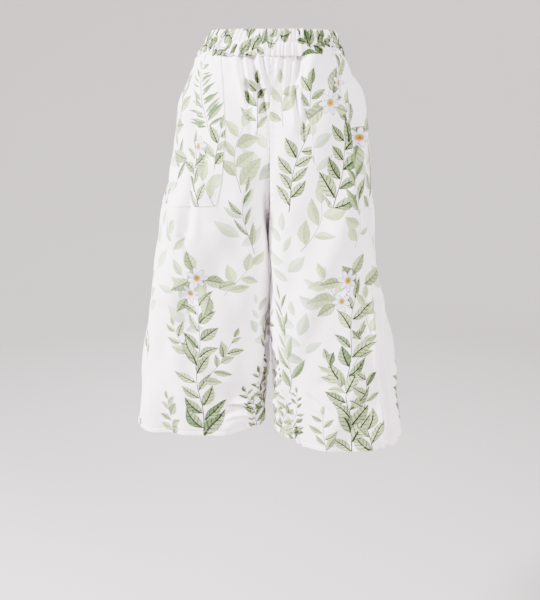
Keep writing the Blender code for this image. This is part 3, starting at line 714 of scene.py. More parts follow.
# where the sprays stand on each piece's flat cloth: style, width and drop in millimetres,
# lean and curve in degrees, length in millimetres, size
printChart = {
    "frontRight": (
        ("shadow", 150, 500, -10, 22, 100, 0.85), ("shadow", 200, 390, 14, -26, 80, 0.75),
        ("shadow", 48, 345, 8, -20, 95, 0.9), ("shadow", 20, 235, -6, 12, 80, 0.85),
        ("shadow", 30, 520, -24, 30, 80, 0.8), ("shadow", 235, 470, 6, -18, 70, 0.7),
        ("climbing", 124, 716, 6, -14, 290, 1), ("branch", 180, 718, 20, -34, 85, 0.95),
        ("branch", 126, 590, -56, 22, 110, 0.95), ("branch", 130, 545, 52, -50, 75, 0.9),
        ("inked", 14, 716, 0, 2, 100, 0.9), ("inked", 0, 712, 2, -4, 130, 0.9),
        ("inked", -12, 705, 4, -6, 150, 0.85), ("broad", 76, 420, -34, -16, 70, 0.9),
        ("broad", 120, 440, 38, -24, 60, 0.85), ("willow", 26, 345, 10, -16, 105, 0.9),
        ("broad", 46, 240, 12, -24, 100, 0.85), ("branch", 20, 150, -8, 16, 70, 0.85),
        ("branch", -18, 700, 4, -8, 130, 0.8), ("branch", -4, 712, -6, 8, 110, 0.85),
        ("branch", -34, 712, 6, -8, 120, 0.8), ("willow", 6, 640, -10, 12, 80, 0.75),
        ("willow", -4, 560, 6, -10, 90, 0.7), ("branch", 245, 560, 8, -18, 80, 0.8),
        ("branch", 262, 712, 4, -8, 60, 0.85), ("broad", 160, 350, 10, 16, 50, 0.75),
    ),
    "frontLeft": (
        ("shadow", 58, 545, 14, -26, 100, 0.95), ("shadow", 30, 400, -8, 20, 95, 0.9),
        ("shadow", 94, 470, -18, 24, 85, 0.85), ("shadow", 200, 420, 6, -14, 70, 0.8),
        ("climbing", 152, 716, -14, 24, 300, 1), ("branch", 112, 720, -30, 40, 90, 0.9),
        ("branch", 136, 590, -56, 30, 75, 0.9), ("branch", 140, 535, 50, -50, 70, 0.85),
        ("willow", 30, 600, 16, -10, 110, 0.95), ("willow", 22, 495, -8, 14, 70, 0.8),
        ("broad", 50, 335, 40, -44, 85, 0.95), ("broad", 120, 430, -42, 30, 60, 0.85),
        ("climbing", 30, 270, 8, 12, 120, 0.75), ("broad", 20, 140, -12, 16, 60, 0.7),
        ("branch", -45, 712, 4, -6, 120, 0.85), ("branch", -4, 712, 8, -10, 100, 0.85),
        ("climbing", -30, 712, -4, 8, 150, 0.75), ("branch", -70, 712, 4, -6, 130, 0.85),
        ("branch", 12, 716, 24, -24, 60, 0.85), ("willow", -20, 705, -4, 6, 110, 0.8),
        ("inked", 36, 716, -12, 10, 120, 0.9), ("inked", 6, 705, -6, 6, 150, 0.85),
        ("branch", -60, 560, 2, 6, 100, 0.8), ("climbing", 188, 716, 2, -6, 170, 0.85),
        ("broad", 176, 500, -8, 14, 80, 0.8), ("broad", 140, 330, 20, -30, 50, 0.75),
    ),
    "backRight": (
        ("shadow", 120, 560, 15, -25, 110, 1), ("shadow", 50, 330, -10, 25, 90, 1),
        ("shadow", 200, 400, 12, -20, 90, 1), ("shadow", 90, 170, 8, 10, 70, 0.9),
        ("shadow", 240, 620, -10, 18, 100, 1), ("shadow", 30, 620, 8, -18, 100, 1),
        ("climbing", 75, 716, 8, -18, 290, 1), ("climbing", 195, 716, -8, 14, 240, 0.95),
        ("climbing", 130, 430, 12, -26, 170, 0.9), ("branch", 128, 620, -28, 34, 100, 0.95),
        ("branch", 250, 560, 8, 14, 110, 0.95), ("willow", 24, 560, 10, -12, 130, 1),
        ("willow", 215, 330, -14, 16, 120, 1), ("broad", 50, 400, 36, -44, 90, 0.95),
        ("branch", 30, 280, -6, 18, 110, 0.9), ("branch", 120, 220, 10, -22, 100, 0.95),
        ("willow", 60, 150, 4, 8, 80, 0.85), ("branch", 270, 716, -6, 12, 120, 0.9),
        ("branch", 185, 200, -6, 16, 100, 0.9), ("branch", -20, 690, 2, 4, 140, 0.9),
        ("willow", 140, 716, 4, -6, 100, 0.9),
    ),
    "backLeft": (
        ("shadow", 80, 500, -15, 22, 110, 1), ("shadow", 190, 330, 10, -25, 90, 1),
        ("shadow", 250, 560, -12, 20, 100, 1), ("shadow", 60, 190, 4, -10, 80, 0.9),
        ("shadow", 150, 650, 10, -16, 90, 1), ("shadow", 300, 430, 6, -12, 90, 1),
        ("climbing", 110, 716, -8, 18, 290, 1), ("climbing", 260, 716, 8, -16, 260, 0.95),
        ("climbing", 170, 450, 10, -24, 170, 0.9), ("branch", 185, 640, 24, -28, 100, 0.95),
        ("branch", 50, 716, -12, 16, 110, 0.9), ("willow", 30, 540, 8, -10, 130, 1),
        ("willow", 270, 430, -10, 14, 120, 1), ("broad", 95, 390, -32, 44, 90, 0.95),
        ("branch", 30, 350, 6, 16, 110, 0.9), ("branch", 130, 230, -10, 20, 110, 0.95),
        ("willow", 50, 150, 6, -8, 80, 0.85), ("branch", 296, 700, -8, 14, 140, 0.9),
        ("branch", 215, 230, 8, -18, 110, 0.9), ("branch", -30, 690, 2, 4, 140, 0.9),
        ("willow", 200, 716, -4, 8, 100, 0.9),
    ),
    "pocketRight": (
        ("shadow", 100, 245, -10, 20, 70, 0.9), ("shadow", 200, 260, -6, 12, 90, 0.95),
        ("frond", 94, 145, 14, -18, 100, 1), ("climbing", 112, 290, 4, -16, 110, 0.8),
        ("branch", 86, 205, -4, 10, 60, 0.85), ("willow", 168, 240, -12, 16, 100, 0.85),
        ("broad", 90, 262, 30, -30, 55, 0.8), ("climbing", 222, 288, -6, 12, 130, 0.85),
        ("branch", 160, 130, 10, -12, 70, 0.8),
    ),
    "pocketLeft": (
        ("shadow", 70, 235, 14, -20, 80, 0.9), ("shadow", 160, 230, -8, 14, 80, 0.9),
        ("climbing", 98, 288, -4, 14, 170, 0.85), ("branch", 126, 175, 16, -24, 90, 0.95),
        ("branch", 58, 140, 12, -20, 60, 0.85), ("broad", 80, 262, -38, 30, 60, 0.85),
        ("willow", 142, 286, -4, 10, 110, 0.9), ("willow", 120, 100, -20, 22, 55, 0.8),
        ("climbing", 185, 280, 2, -10, 130, 0.8),
    ),
    "waistband": tuple(
        (("branch", "willow", "climbing", "branch", "broad")[k % 5], -546 + 33 * k, 40 - 6 * (k % 3),
         (72, -58, 34, 84, -76)[k % 5], 16 - 8 * (k % 4), 62, 0.8)
        for k in range(34) if k not in (18, 19, 27)),
}
# blossoms: width, drop and radius in millimetres, turn in degrees, squash
blossomChart = {
    "frontRight": ((122, 388, 22, 10, 0.92), (98, 412, 20.5, 50, 0.82), (136, 420, 20.5, 30, 0.88)),
    "frontLeft": ((128, 385, 22, 20, 0.92), (152, 402, 20.5, 75, 0.84), (118, 420, 20.5, 5, 0.88)),
    "backRight": ((90, 400, 22, 15, 0.9), (112, 420, 20.5, 40, 0.85),
                  (180, 470, 21.2, 60, 0.9), (130, 250, 21.2, 30, 0.9)),
    "backLeft": ((128, 405, 22, 35, 0.9), (105, 425, 20.5, 10, 0.85),
                 (262, 450, 21.2, 80, 0.9), (125, 260, 21.2, 70, 0.9)),
    "pocketRight": ((116, 172, 21.2, 25, 0.9), (136, 196, 19.5, 70, 0.82), (205, 150, 20.5, 20, 0.9)),
    "pocketLeft": ((92, 106, 21.2, 5, 0.92), (112, 78, 19.5, 45, 0.84), (150, 160, 20.5, 60, 0.88)),
    "waistband": ((-120, 18, 15, 0, 0.9), (195, 22, 15, 30, 0.9), (355, 20, 15, 60, 0.9)),
}
# curled tendrils: width and drop in millimetres, lean in degrees
tendrilChart = {
    "frontRight": ((140, 450, 30),),
    "frontLeft": ((100, 445, -30),),
    "backRight": ((165, 420, 20),),
    "backLeft": ((215, 520, 20),),
}


def printMarks(piece):
    settings = printSettings
    rng = np.random.default_rng(settings["seeds"][piece])
    marks = []
    for style, width, drop, lean, curve, length, size in printChart[piece]:
        at = (width / 1000, -drop / 1000)
        marks += sprayMarks(style, at, lean, length / 1000, curve, rng, size)
    ink, darker = settings["bandInk"]
    for mark in marks if piece == "waistband" else ():
        if mark["kind"] == "leaf":
            mark["half"] = (mark["half"][0], mark["half"][1] * settings["bandWiden"])
            mark["code"] = ink + min(settings["darkest"], mark["code"] % 1 + darker)
        else:
            mark["code"] = settings["darkest"]
    leaves = settings["blossomLeaves"]
    for width, drop, radius, turn, squash in blossomChart[piece]:
        at, radius = (width / 1000, -drop / 1000), radius / 1000
        for k in range(leaves["count"]):
            lean = math.radians(turn + 360 / leaves["count"] * k + rng.uniform(*leaves["turn"]))
            base = away(at, lean, radius * leaves["from"])
            length = radius * rng.uniform(*leaves["length"])
            code = leaves["ink"] + rng.uniform(*leaves["tone"])
            marks.append(leafMark(base, lean, length, leaves["slim"], code, leafLayers))
        shade = rng.uniform(*settings["blossomTone"])
        marks.append(blossomMark(at, radius, math.radians(turn), squash, shade))
    for width, drop, lean in tendrilChart.get(piece, ()):
        marks += tendrilMarks((width / 1000, -drop / 1000), lean)
    return marks


# Shader trees

def tone(*colour):
    # a colour as it reads on a screen, made linear
    return tuple(c / 255 / 12.92 if c <= 10 else ((c / 255 + 0.055) / 1.055) ** 2.4 for c in colour) + (1.0,)


def connect(tree, value, socket):
    # a link from another node's socket, or a plain value
    value = getattr(value, "socket", value)
    if isinstance(value, bpy.types.NodeSocket):
        tree.links.new(value, socket)
    else:
        socket.default_value = value


def node(tree, kind, values=(), **settings):
    made = tree.nodes.new(kind)
    for key, value in settings.items():
        setattr(made, key, value)
    for key, value in dict(values).items():
        connect(tree, value, made.inputs[key])
    return made


class Signal:
    # a value in a shader tree, whose sums and products are Math nodes
    def __init__(self, socket):
        self.socket, self.tree = socket, socket.id_data

    def calc(self, operation, *others):
        inputs = dict(enumerate((self, *others)))
        return Signal(node(self.tree, "ShaderNodeMath", inputs, operation=operation).outputs[0])

    def __add__(self, other):
        return self.calc("ADD", other)

    def __sub__(self, other):
        return self.calc("SUBTRACT", other)

    def __rsub__(self, other):
        return self.calc("MULTIPLY_ADD", -1.0, other)

    def __mul__(self, other):
        return self.calc("MULTIPLY", other)

    def __truediv__(self, other):
        return self.calc("DIVIDE", other)

    def __pow__(self, other):
        return self.calc("POWER", other)

    def __abs__(self):
        return self.calc("ABSOLUTE")

    def clamped(self):
        self.socket.node.use_clamp = True
        return self

    def ramp(self, low, high):
        # 0 at low, 1 at high, smooth between
        values = {"Value": self, "From Min": low, "From Max": high}
        made = node(self.tree, "ShaderNodeMapRange", values, interpolation_type="SMOOTHSTEP")
        return Signal(made.outputs["Result"])


def blendColours(tree, share, under, over):
    mix = node(tree, "ShaderNodeMix", data_type="RGBA", blend_type="MIX")
    for key, value in (("Factor", share), (6, under), (7, over)):
        connect(tree, value, mix.inputs[key])
    return mix.outputs[2]


def noise(tree, place, scale, detail, roughness=0.5):
    values = {"Vector": place, "Scale": scale, "Detail": detail, "Roughness": roughness}
    return Signal(node(tree, "ShaderNodeTexNoise", values).outputs["Fac"])


def splitVector(vector):
    parts = node(vector.id_data, "ShaderNodeSeparateXYZ", {"Vector": vector}).outputs
    return [Signal(part) for part in parts]


def bumped(tree, height, strength, distance):
    values = {"Height": height, "Strength": strength, "Distance": distance}
    return node(tree, "ShaderNodeBump", values).outputs["Normal"]


def newMaterial(name):
    made = bpy.data.materials.new(name)
    made.use_nodes = True
    return made, made.node_tree, made.node_tree.nodes["Principled BSDF"].inputs


def newGroup(name, inputs, outputs):
    # each input has its usual value, and a vector has none
    tree = bpy.data.node_groups.new(name, "ShaderNodeTree")
    for label, value in inputs.items():
        kind = "Vector" if value is None else "Float" if isinstance(value, float) else "Color"
        socket = tree.interface.new_socket(name=label, in_out="INPUT", socket_type="NodeSocket" + kind)
        if value is not None:
            socket.default_value = value
    for label, kind in outputs.items():
        tree.interface.new_socket(name=label, in_out="OUTPUT", socket_type="NodeSocket" + kind)
    return tree, tree.nodes.new("NodeGroupInput").outputs, tree.nodes.new("NodeGroupOutput").inputs


def layerGroup(name, inputs):
    # a group that lays one kind of mark over a base colour
    inputs = {"Base": (1, 1, 1, 1), "Mark": None, **inputs, "Strength": 1.0}
    tree, given, results = newGroup(name, inputs, {"Color": "Color"})
    return tree, given, results, splitVector(given["Mark"])


def leafGroup():
    tree, given, results, (u, v, code) = layerGroup("paintedLeaf", {
        "Grain": 0.5, "Light": (0.5, 0.6, 0.4, 1), "Deep": (0.3, 0.4, 0.2, 1),
        "Vein": (0.1, 0.15, 0.08, 1), "Vein Strength": 0.8})
    grain = Signal(given["Grain"])
    shade, ink = code.calc("FRACT"), code.calc("FLOOR") * 0.34
    t = (u * 0.5 + 0.5).clamped()
    width = (t ** 0.82 * math.pi).calc("SINE").calc("MAXIMUM", 0.0) ** 1.1
    inside = width - abs(v + (grain * 0.30 - 0.15))
    exact = abs(v)
    # midrib, thinner towards the tip, and veins that slant up from it
    rib = ((1.0 - exact / (t * -0.10 + 0.20)) * 2.0).clamped()
    rib = (rib * (grain * 1.6 + 0.35)).clamped()
    slant = (t * 6.0 - exact * 1.3).calc("FRACT")
    vein = (1.0 - abs(slant - 0.5) * 5.0).clamped() * (grain * 3.4 - 0.75)
    lines = rib.calc("MAXIMUM", vein.clamped())
    # an inked edge on the upper half, broken by the grain
    edge = inside.ramp(0.16, 0.04) * v.ramp(0.0, 0.1) * (grain * 3.0 - 0.9).clamped()
    lines = (lines.calc("MAXIMUM", edge) * (ink * given["Vein Strength"])).clamped()
    # pigment gathers at the rim, and one half of a leaf is darker than the other
    depth = grain * 0.9 - 0.45 + shade + (v.ramp(-0.18, 0.18) * 0.40 - 0.20)
    depth = (depth + inside.ramp(0.22, 0.0) * 0.30).clamped()
    colour = blendColours(tree, depth, given["Light"], given["Deep"])
    colour = blendColours(tree, lines, colour, given["Vein"])
    share = inside.ramp(0.0, 0.10) * given["Strength"]
    connect(tree, blendColours(tree, share, given["Base"], colour), results["Color"])
    return tree


def stemGroup():
    tree, given, results, (distance, half, shade) = layerGroup("paintedStem", {
        "Light": (0.4, 0.45, 0.35, 1), "Deep": (0.2, 0.2, 0.2, 1)})
    away = abs(distance)
    # blank corners hold a half width as large as their distance, so they need a limit
    known = away.calc("LESS_THAN", blank[0] - 1.0)
    share = (half - away).ramp(-0.10, 0.16) * known * given["Strength"]
    colour = blendColours(tree, shade, given["Light"], given["Deep"])
    connect(tree, blendColours(tree, share, given["Base"], colour), results["Color"])
    return tree


def blossomGroup():
    tree, given, results, (u, v, _) = layerGroup("paintedBlossom", {
        "Grain": 0.5, "Petal": (0.85, 0.85, 0.9, 1), "Shade": (0.6, 0.6, 0.7, 1),
        "Outline": (0.4, 0.4, 0.5, 1), "Heart": (0.7, 0.45, 0.1, 1), "Heart Deep": (0.3, 0.15, 0.02, 1)})
    grain = Signal(given["Grain"])
    radius = (u * u + v * v).calc("SQRT")
    # seven petals, each an ellipse of its own length in its sector
    petals = 7
    sector = v.calc("ARCTAN2", u) * (petals / (2 * math.pi)) + 0.5
    turn = (sector.calc("FRACT") - 0.5) * (2 * math.pi / petals)
    long = (sector.calc("FLOOR") * 2.4).calc("SINE") * 0.05 + 0.45
    outwards = (radius * turn.calc("COSINE") - 0.48) / long
    sideways = radius * turn.calc("SINE") / 0.215
    inside = (grain * 0.16 + 0.92) - (abs(outwards) ** 2.0 + abs(sideways) ** 1.6)
    streak = abs((turn * 26.0).calc("SINE")).ramp(0.5, 1.0) * radius.ramp(0.75, 0.25)
    shading = (streak * 0.5 + (grain * 0.8 - 0.25)).clamped()
    colour = blendColours(tree, shading, given["Petal"], given["Shade"])
    colour = blendColours(tree, inside.ramp(0.42, 0.12), colour, given["Outline"])
    heart = (radius + (grain * 0.16 - 0.08)).ramp(0.32, 0.24)
    speck = (grain + radius * -1.2).ramp(0.30, 0.50)
    golden = blendColours(tree, speck, given["Heart"], given["Heart Deep"])
    colour = blendColours(tree, heart, colour, golden)
    share = inside.ramp(0.0, 0.06).calc("MAXIMUM", heart) * given["Strength"]
    connect(tree, blendColours(tree, share, given["Base"], colour), results["Color"])
    return tree


def weaveGroup():
    # fine plain weave and slightly uneven yarns, on the cloth's own coordinates in metres
    tree, given, results = newGroup("fineWeave", {"Flat": None, "Threads": 2200.0},
                                    {"Height": "Float", "Uneven": "Float"})
    across, along, _ = splitVector(given["Flat"])
    turns = Signal(given["Threads"]) * math.pi
    weave = (across * turns).calc("SINE") * (along * turns).calc("SINE") * 0.5 + 0.5
    stretched = node(tree, "ShaderNodeMapping", {"Vector": given["Flat"], "Scale": (900.0, 60.0, 1.0)})
    slub = noise(tree, stretched.outputs["Vector"], 1.0, 2.0)
    connect(tree, weave + slub * 0.5, results["Height"])
    connect(tree, slub, results["Uneven"])
    return tree


printGroups = {"leaf": leafGroup(), "stem": stemGroup(), "blossom": blossomGroup(), "weave": weaveGroup()}

clothFinish = {
    "white": tone(246, 238, 243),
    "whiteUneven": tone(240, 231, 237),
    "leafLight": tone(172, 186, 134),
    "leafDeep": tone(66, 88, 45),
    "leafVein": tone(5, 10, 5),
    "leafInk": 1.0,
    "shadowLight": tone(192, 204, 178),
    "shadowDeep": tone(138, 158, 130),
    "shadowInk": 0.15,
    "stemLight": tone(40, 50, 32),
    "stemDeep": tone(12, 14, 14),
    "petal": tone(226, 223, 240),
    "petalShade": tone(142, 136, 180),
    "petalOutline": tone(40, 34, 62),
    "heart": tone(164, 128, 0),
    "heartDeep": tone(62, 38, 0),
    "mottle": (26.0, 3.0, 0.55),      # scale, detail and roughness of a noise
    "grain": (230.0, 4.0, 0.62),
    "speckle": (900.0, 2.0, 0.5),
    "roughness": 0.76,
    "unevenRoughness": 0.12,
    "sheen": 0.18,
    "sheenRoughness": 0.5,
    "specular": 0.25,
    "weaveBump": (0.25, 0.00012),     # strength, distance
    "printOnReverse": 0.30,
}


def clothMaterial(name, finish):
    made, tree, surface = newMaterial(name)
    flat = node(tree, "ShaderNodeUVMap", uv_map="cloth").outputs["UV"]
    mottle, grain, speckle = (noise(tree, flat, *finish[key]) for key in ("mottle", "grain", "speckle"))

    def attribute(label):
        return node(tree, "ShaderNodeAttribute", attribute_name=label, attribute_type="GEOMETRY").outputs

    strength = Signal(attribute("reverse")["Fac"]) * (finish["printOnReverse"] - 1.0) + 1.0
    leaf = {"Grain": grain, "Light": finish["leafLight"], "Deep": finish["leafDeep"],
            "Vein": finish["leafVein"], "Vein Strength": finish["leafInk"]}
    shadow = {"Grain": grain, "Light": finish["shadowLight"], "Deep": finish["shadowDeep"],
              "Vein": finish["shadowDeep"], "Vein Strength": finish["shadowInk"]}
    stem = {"Light": finish["stemLight"], "Deep": finish["stemDeep"]}
    blossom = {"Grain": speckle, "Petal": finish["petal"], "Shade": finish["petalShade"],
               "Outline": finish["petalOutline"], "Heart": finish["heart"],
               "Heart Deep": finish["heartDeep"]}
    kinds = (("leaf", shadow), ("stem", stem), *[("leaf", leaf)] * len(leafLayers), ("blossom", blossom))
    colour = blendColours(tree, mottle.ramp(0.35, 0.7), finish["white"], finish["whiteUneven"])
    for layer, (kind, values) in zip(markLayers, kinds):
        values = {"Base": colour, "Mark": attribute(layer)["Vector"], "Strength": strength, **values}
        colour = node(tree, "ShaderNodeGroup", values, node_tree=printGroups[kind]).outputs["Color"]
    weave = node(tree, "ShaderNodeGroup", {"Flat": flat}, node_tree=printGroups["weave"]).outputs
    connect(tree, colour, surface["Base Color"])
    rough = Signal(weave["Uneven"]) * finish["unevenRoughness"] + finish["roughness"]
    connect(tree, rough, surface["Roughness"])
    connect(tree, finish["sheen"], surface["Sheen Weight"])
    connect(tree, finish["sheenRoughness"], surface["Sheen Roughness"])
    connect(tree, finish["specular"], surface["Specular IOR Level"])
    connect(tree, bumped(tree, weave["Height"], *finish["weaveBump"]), surface["Normal"])
    return made


def threadMaterial():
    made, tree, surface = newMaterial("whiteThread")
    ply = noise(tree, node(tree, "ShaderNodeTexCoord").outputs["Object"], 2600.0, 1.0)
    colour = blendColours(tree, ply, tone(246, 244, 246), tone(222, 218, 224))
    connect(tree, colour, surface["Base Color"])
    connect(tree, ply * 0.2 + 0.5, surface["Roughness"])
    connect(tree, bumped(tree, ply, 0.4, 0.0001), surface["Normal"])
    return made


materials = {
    "leg": clothMaterial("printedLegCloth", clothFinish),
    "pocket": clothMaterial("printedPocketCloth", clothFinish),
    "band": clothMaterial("printedBandCloth", clothFinish),
    "thread": threadMaterial(),
}
print("materials made")


# Leg panels

def faceSign(side, face):
    return 1 if (side == "right") == (face == "front") else -1


grids, pieces = {}, {}
for side, face in ((s, f) for s in ("right", "left") for f in ("front", "back")):
    key = f"{face}_{side}"
    grid = grids[key] = panelGrid(side, face)
    marks = printMarks(face + side.capitalize())
    panel = clothShell("panel_" + key, grid, garment["clothThickness"], marks, faceSign(side, face))
    panel.data.materials.append(materials["leg"])
    pieces[key] = panel
    hem = np.ptp(grid["width"][-turnedRows - 3])
    print("panel", key, "quads", len(panel.data.polygons), "flat width at the hem", round(float(hem), 3))


# Patch pockets, laid on the front panels

pocketSettings = {
    # the inner edge of each patch: drop, distance from the centre plane
    "edge": {
        "right": ((0.030, 0.0747), (0.150, 0.0680), (0.225, 0.0755), (0.285, 0.0930)),
        "left": ((0.030, 0.0481), (0.100, 0.0460), (0.140, 0.0620), (0.190, 0.0650), (0.225, 0.0760),
                 (0.285, 0.1000)),
    },
    "top": 0.0357,
    "bottom": (0.263, 0.280),     # drop at the inner edge and at the side seam
    "mouthShare": 0.75,           # of the top edge, where the mouth starts
    "mouthEnd": 0.157,            # drop where the mouth meets the side seam
    "besideSeam": 0.0004,
    "clearance": 0.0004,
    "thickness": 0.0007,
    "rounding": (0.5, 0.0005),        # of a sewn edge: share of the thickness, reach
    "rim": (0.00035, 0.002, 0.001),   # height, where it starts to fall and over what distance
    "stitchIn": 0.0027,
    "groove": (0.0004, 0.0009),       # depth, half width
    "puff": (0.0007, 0.003, 0.020),   # height, where it starts and over what distance
    "mouthRounding": (0.4, 0.0006),
    "mouthHem": 0.0055,
    "mouthStep": (0.0005, 0.001),     # of its hem's edge
    "mouthStand": (0.0030, 0.016),    # height, reach
    # the mesh: columns and rows near a sewn edge, where the others start, their spacing, usual sizes
    "edgeRows": (0.0, 0.0003, 0.0009, 0.0016, 0.0022, 0.0027, 0.0032, 0.0040, 0.0052),
    "innerRows": 0.0074,
    "spacing": 0.0025,
    "width": 0.190,
    "height": 0.235,
    "mouthWidth": 0.130,
}
panelCore = slice(seamColumns, -seamColumns)    # a panel's columns without the turned-in ones


def onGrid(grid, normals, width, drop):
    # point and normal of a panel at a place on its flat cloth
    rows = grid["rowDrops"][:-turnedRows]
    j = int(np.clip(np.searchsorted(rows, drop) - 1, 0, len(rows) - 2))
    share = float(np.clip((drop - rows[j]) / (rows[j + 1] - rows[j]), 0, 1))
    places = grid["width"][:, panelCore]
    upper, lower = (np.concatenate([lookUp(width, places[k], source[k, panelCore])
                                    for source in (grid["points"], normals)]) for k in (j, j + 1))
    found = upper + (lower - upper) * share
    return found[:3], found[3:] / np.linalg.norm(found[3:])


def patchLimits(side, drop):
    # flat width of a patch's inner edge and of the side seam
    panel = grids["front_" + side]
    j = int(np.searchsorted(panel["rowDrops"], drop))
    x, width = np.abs(panel["points"][j, panelCore, 0]), panel["width"][j, panelCore]
    ahead = slice(int(np.argmax(width > 0.0)), int(np.argmax(x)) + 1)
    edge = np.interp(drop, *zip(*pocketSettings["edge"][side]))
    return np.interp(edge, x[ahead], width[ahead]), width[-1]


def edgePlan(length, both):
    # places across a patch, close together at its sewn edges
    near, first = np.array(pocketSettings["edgeRows"]), pocketSettings["innerRows"]
    inner = np.linspace(first, length - (first if both else 0.0), int(length / pocketSettings["spacing"]))
    return np.concatenate((near, inner, (length - near)[::-1] if both else ())) / length


def patchLift(fromEdge, fromMouth, downMouth):
    # a rounded rim, a row of stitches, then a soft swelling of the cloth
    settings = pocketSettings
    rim, rimEnd, rimFall = settings["rim"]
    groove, grooveHalf = settings["groove"]
    puff, puffStart, puffRun = settings["puff"]
    share, reach = settings["rounding"]
    lift = rim * (1 - ease((fromEdge - rimEnd) / rimFall))
    lift -= share * settings["thickness"] * bell(fromEdge, reach)
    lift -= groove * bell(fromEdge - settings["stitchIn"], grooveHalf)
    lift += puff * ease((fromEdge - puffStart) / puffRun)
    if downMouth < 1:
        # the mouth stands open, and its hem ends in a step
        tall, reach = settings["mouthStand"]
        stand, beside = math.sin(math.pi * downMouth ** 0.8), fromMouth - settings["mouthHem"]
        lift += tall * stand * bell(fromMouth, reach)
        step, half = settings["mouthStep"]
        lift += step * (1 - ease(beside / half)) * min(1.0, 4 * stand) - step * bell(beside, half)
        share, reach = settings["mouthRounding"]
        lift -= share * settings["thickness"] * bell(fromMouth, reach)
    return lift


def pocketGrid(side):
    settings, panel = pocketSettings, grids["front_" + side]
    normals = gridNormals(panel["points"], faceSign(side, "front"))
    top, mouthDrop = settings["top"], settings["mouthEnd"] - settings["top"]
    left, seam = patchLimits(side, top)
    mouthTop = left + settings["mouthShare"] * (seam - left)
    mouthEnd = patchLimits(side, settings["mouthEnd"])[1]
    mouthSlope = mouthDrop / math.hypot(mouthEnd - mouthTop, mouthDrop)
    rowShares = 1 - edgePlan(settings["height"], False)[::-1]
    columnShares = edgePlan(settings["width"], True)
    points = np.zeros((len(rowShares), len(columnShares), 3))
    widths, drops = np.zeros(points.shape[:2]), np.zeros(points.shape[:2])
    bottoms = np.interp(columnShares, (0, 1), settings["bottom"])
    for j, down in enumerate(rowShares):
        for i, across in enumerate(columnShares):
            drop = top + (bottoms[i] - top) * down
            left, seam = patchLimits(side, drop)
            downMouth = (drop - top) / mouthDrop
            right = seam - settings["besideSeam"]
            if downMouth < 1:
                right = min(right, mouthTop + (mouthEnd - mouthTop) * downMouth)
            width = left + (right - left) * across
            point, normal = onGrid(panel, normals, width, drop)
            fromEdge, fromMouth = min(width - left, bottoms[i] - drop), (right - width) * mouthSlope
            lift = settings["clearance"] + settings["thickness"] + patchLift(fromEdge, fromMouth, downMouth)
            points[j, i], widths[j, i], drops[j, i] = point + normal * lift, width, drop
    return {"points": points, "width": widths, "drop": drops, "columnShares": columnShares}


for side in ("right", "left"):
    key = "pocket_" + side
    grids[key] = pocketGrid(side)
    marks = printMarks("pocket" + side.capitalize())
    sign = faceSign(side, "front")
    patch = clothShell("patch_" + key, grids[key], pocketSettings["thickness"], marks, sign)
    patch.data.materials.append(materials["pocket"])
    pieces[key] = patch
    print("pocket", side, "quads", len(patch.data.polygons))


# Ruched waistband

bandSettings = {
    "ruches": 98,
    "samples": 8,                 # columns for each ruche
    "unevenWidth": 0.66,
    "unevenHeight": (0.45, 1.5),
    "height": 0.0023,
    "valley": (2.1, 0.55, 1.30),      # rise, sharpness and depth of a ruche's profile
    "halves": (0.40, 0.18, 0.80),     # the two rows of ruches: where they meet, over what share, height
    "whole": 0.35,                    # height of the ruches that run down the whole band
    "drift": 0.0026,
    "driftWaves": ((5, 0.3, 1.0), (13, 0.0, 0.6)),    # turns round the ring, start, height
    "edgeLift": 0.0013,
    "edges": (0.008, 0.86, 0.10),     # drop that the upper edge's lift runs out over; the lower one's
    "sink": 0.0007,
    "bunch": (0.0016, 23, 40),        # reach, turns round the ring and for each metre of drop
    "stretch": 1.25,              # flat cloth for each metre round the puffs
    "base": 0.0011,
    "inside": -0.0014,
    "leastThickness": 0.0002,
    "flatter": (0.53, 0.035, 0.45),   # where the ruches lie flatter: place round the ring, reach, share
    "seed": 5,
    # rows that go down the outside: drop in mm, share of the ruche's height, extra outwards in mm
    "outside": (
        (0.4, 0.50, -1.3), (0.0, 0.60, -0.6), (0.6, 0.75, -0.1), (1.8, 0.90, 0.2), (3.6, 1.00, 0.4),
        (5.8, 1.00, 0.6), (8.2, 1.00, 0.7), (10.6, 0.98, 0.6), (13.0, 0.90, 0.3), (15.0, 0.75, -0.1),
        (16.4, 0.60, -0.5), (17.6, 0.55, -0.7), (19.0, 0.60, -0.5), (20.6, 0.78, 0.0), (22.8, 0.92, 0.4),
        (25.2, 1.00, 0.6), (27.8, 1.00, 0.7), (30.4, 1.00, 0.6), (32.8, 0.95, 0.4), (34.8, 0.95, 0.1),
        (36.2, 0.90, -0.4), (37.1, 0.75, -1.0), (37.5, 0.55, -1.7)),
    "measuredRow": 8,             # of those, the one that the cloth's own width is measured on
    "insideDrops": (37.4, 33.0, 26.0, 18.0, 10.0, 4.0, 1.2),    # mm, up the inside
}


def ringCurve(drop):
    # the whole section, from the centre back round the left side, the front and the right side
    left, leftOut, leftRun, _ = halfSection(sectionAt("left", drop))
    right, rightOut, rightRun, _ = halfSection(sectionAt("right", drop))
    flip = np.array((-1.0, 1.0))
    points = np.concatenate((left[::-1], right[1:] * flip))
    outward = np.concatenate((leftOut[::-1], rightOut[1:] * flip))
    run = np.concatenate((leftRun[-1] - leftRun[::-1], leftRun[-1] + rightRun[1:]))
    return points, outward, run / run[-1], leftRun[-1] / run[-1]


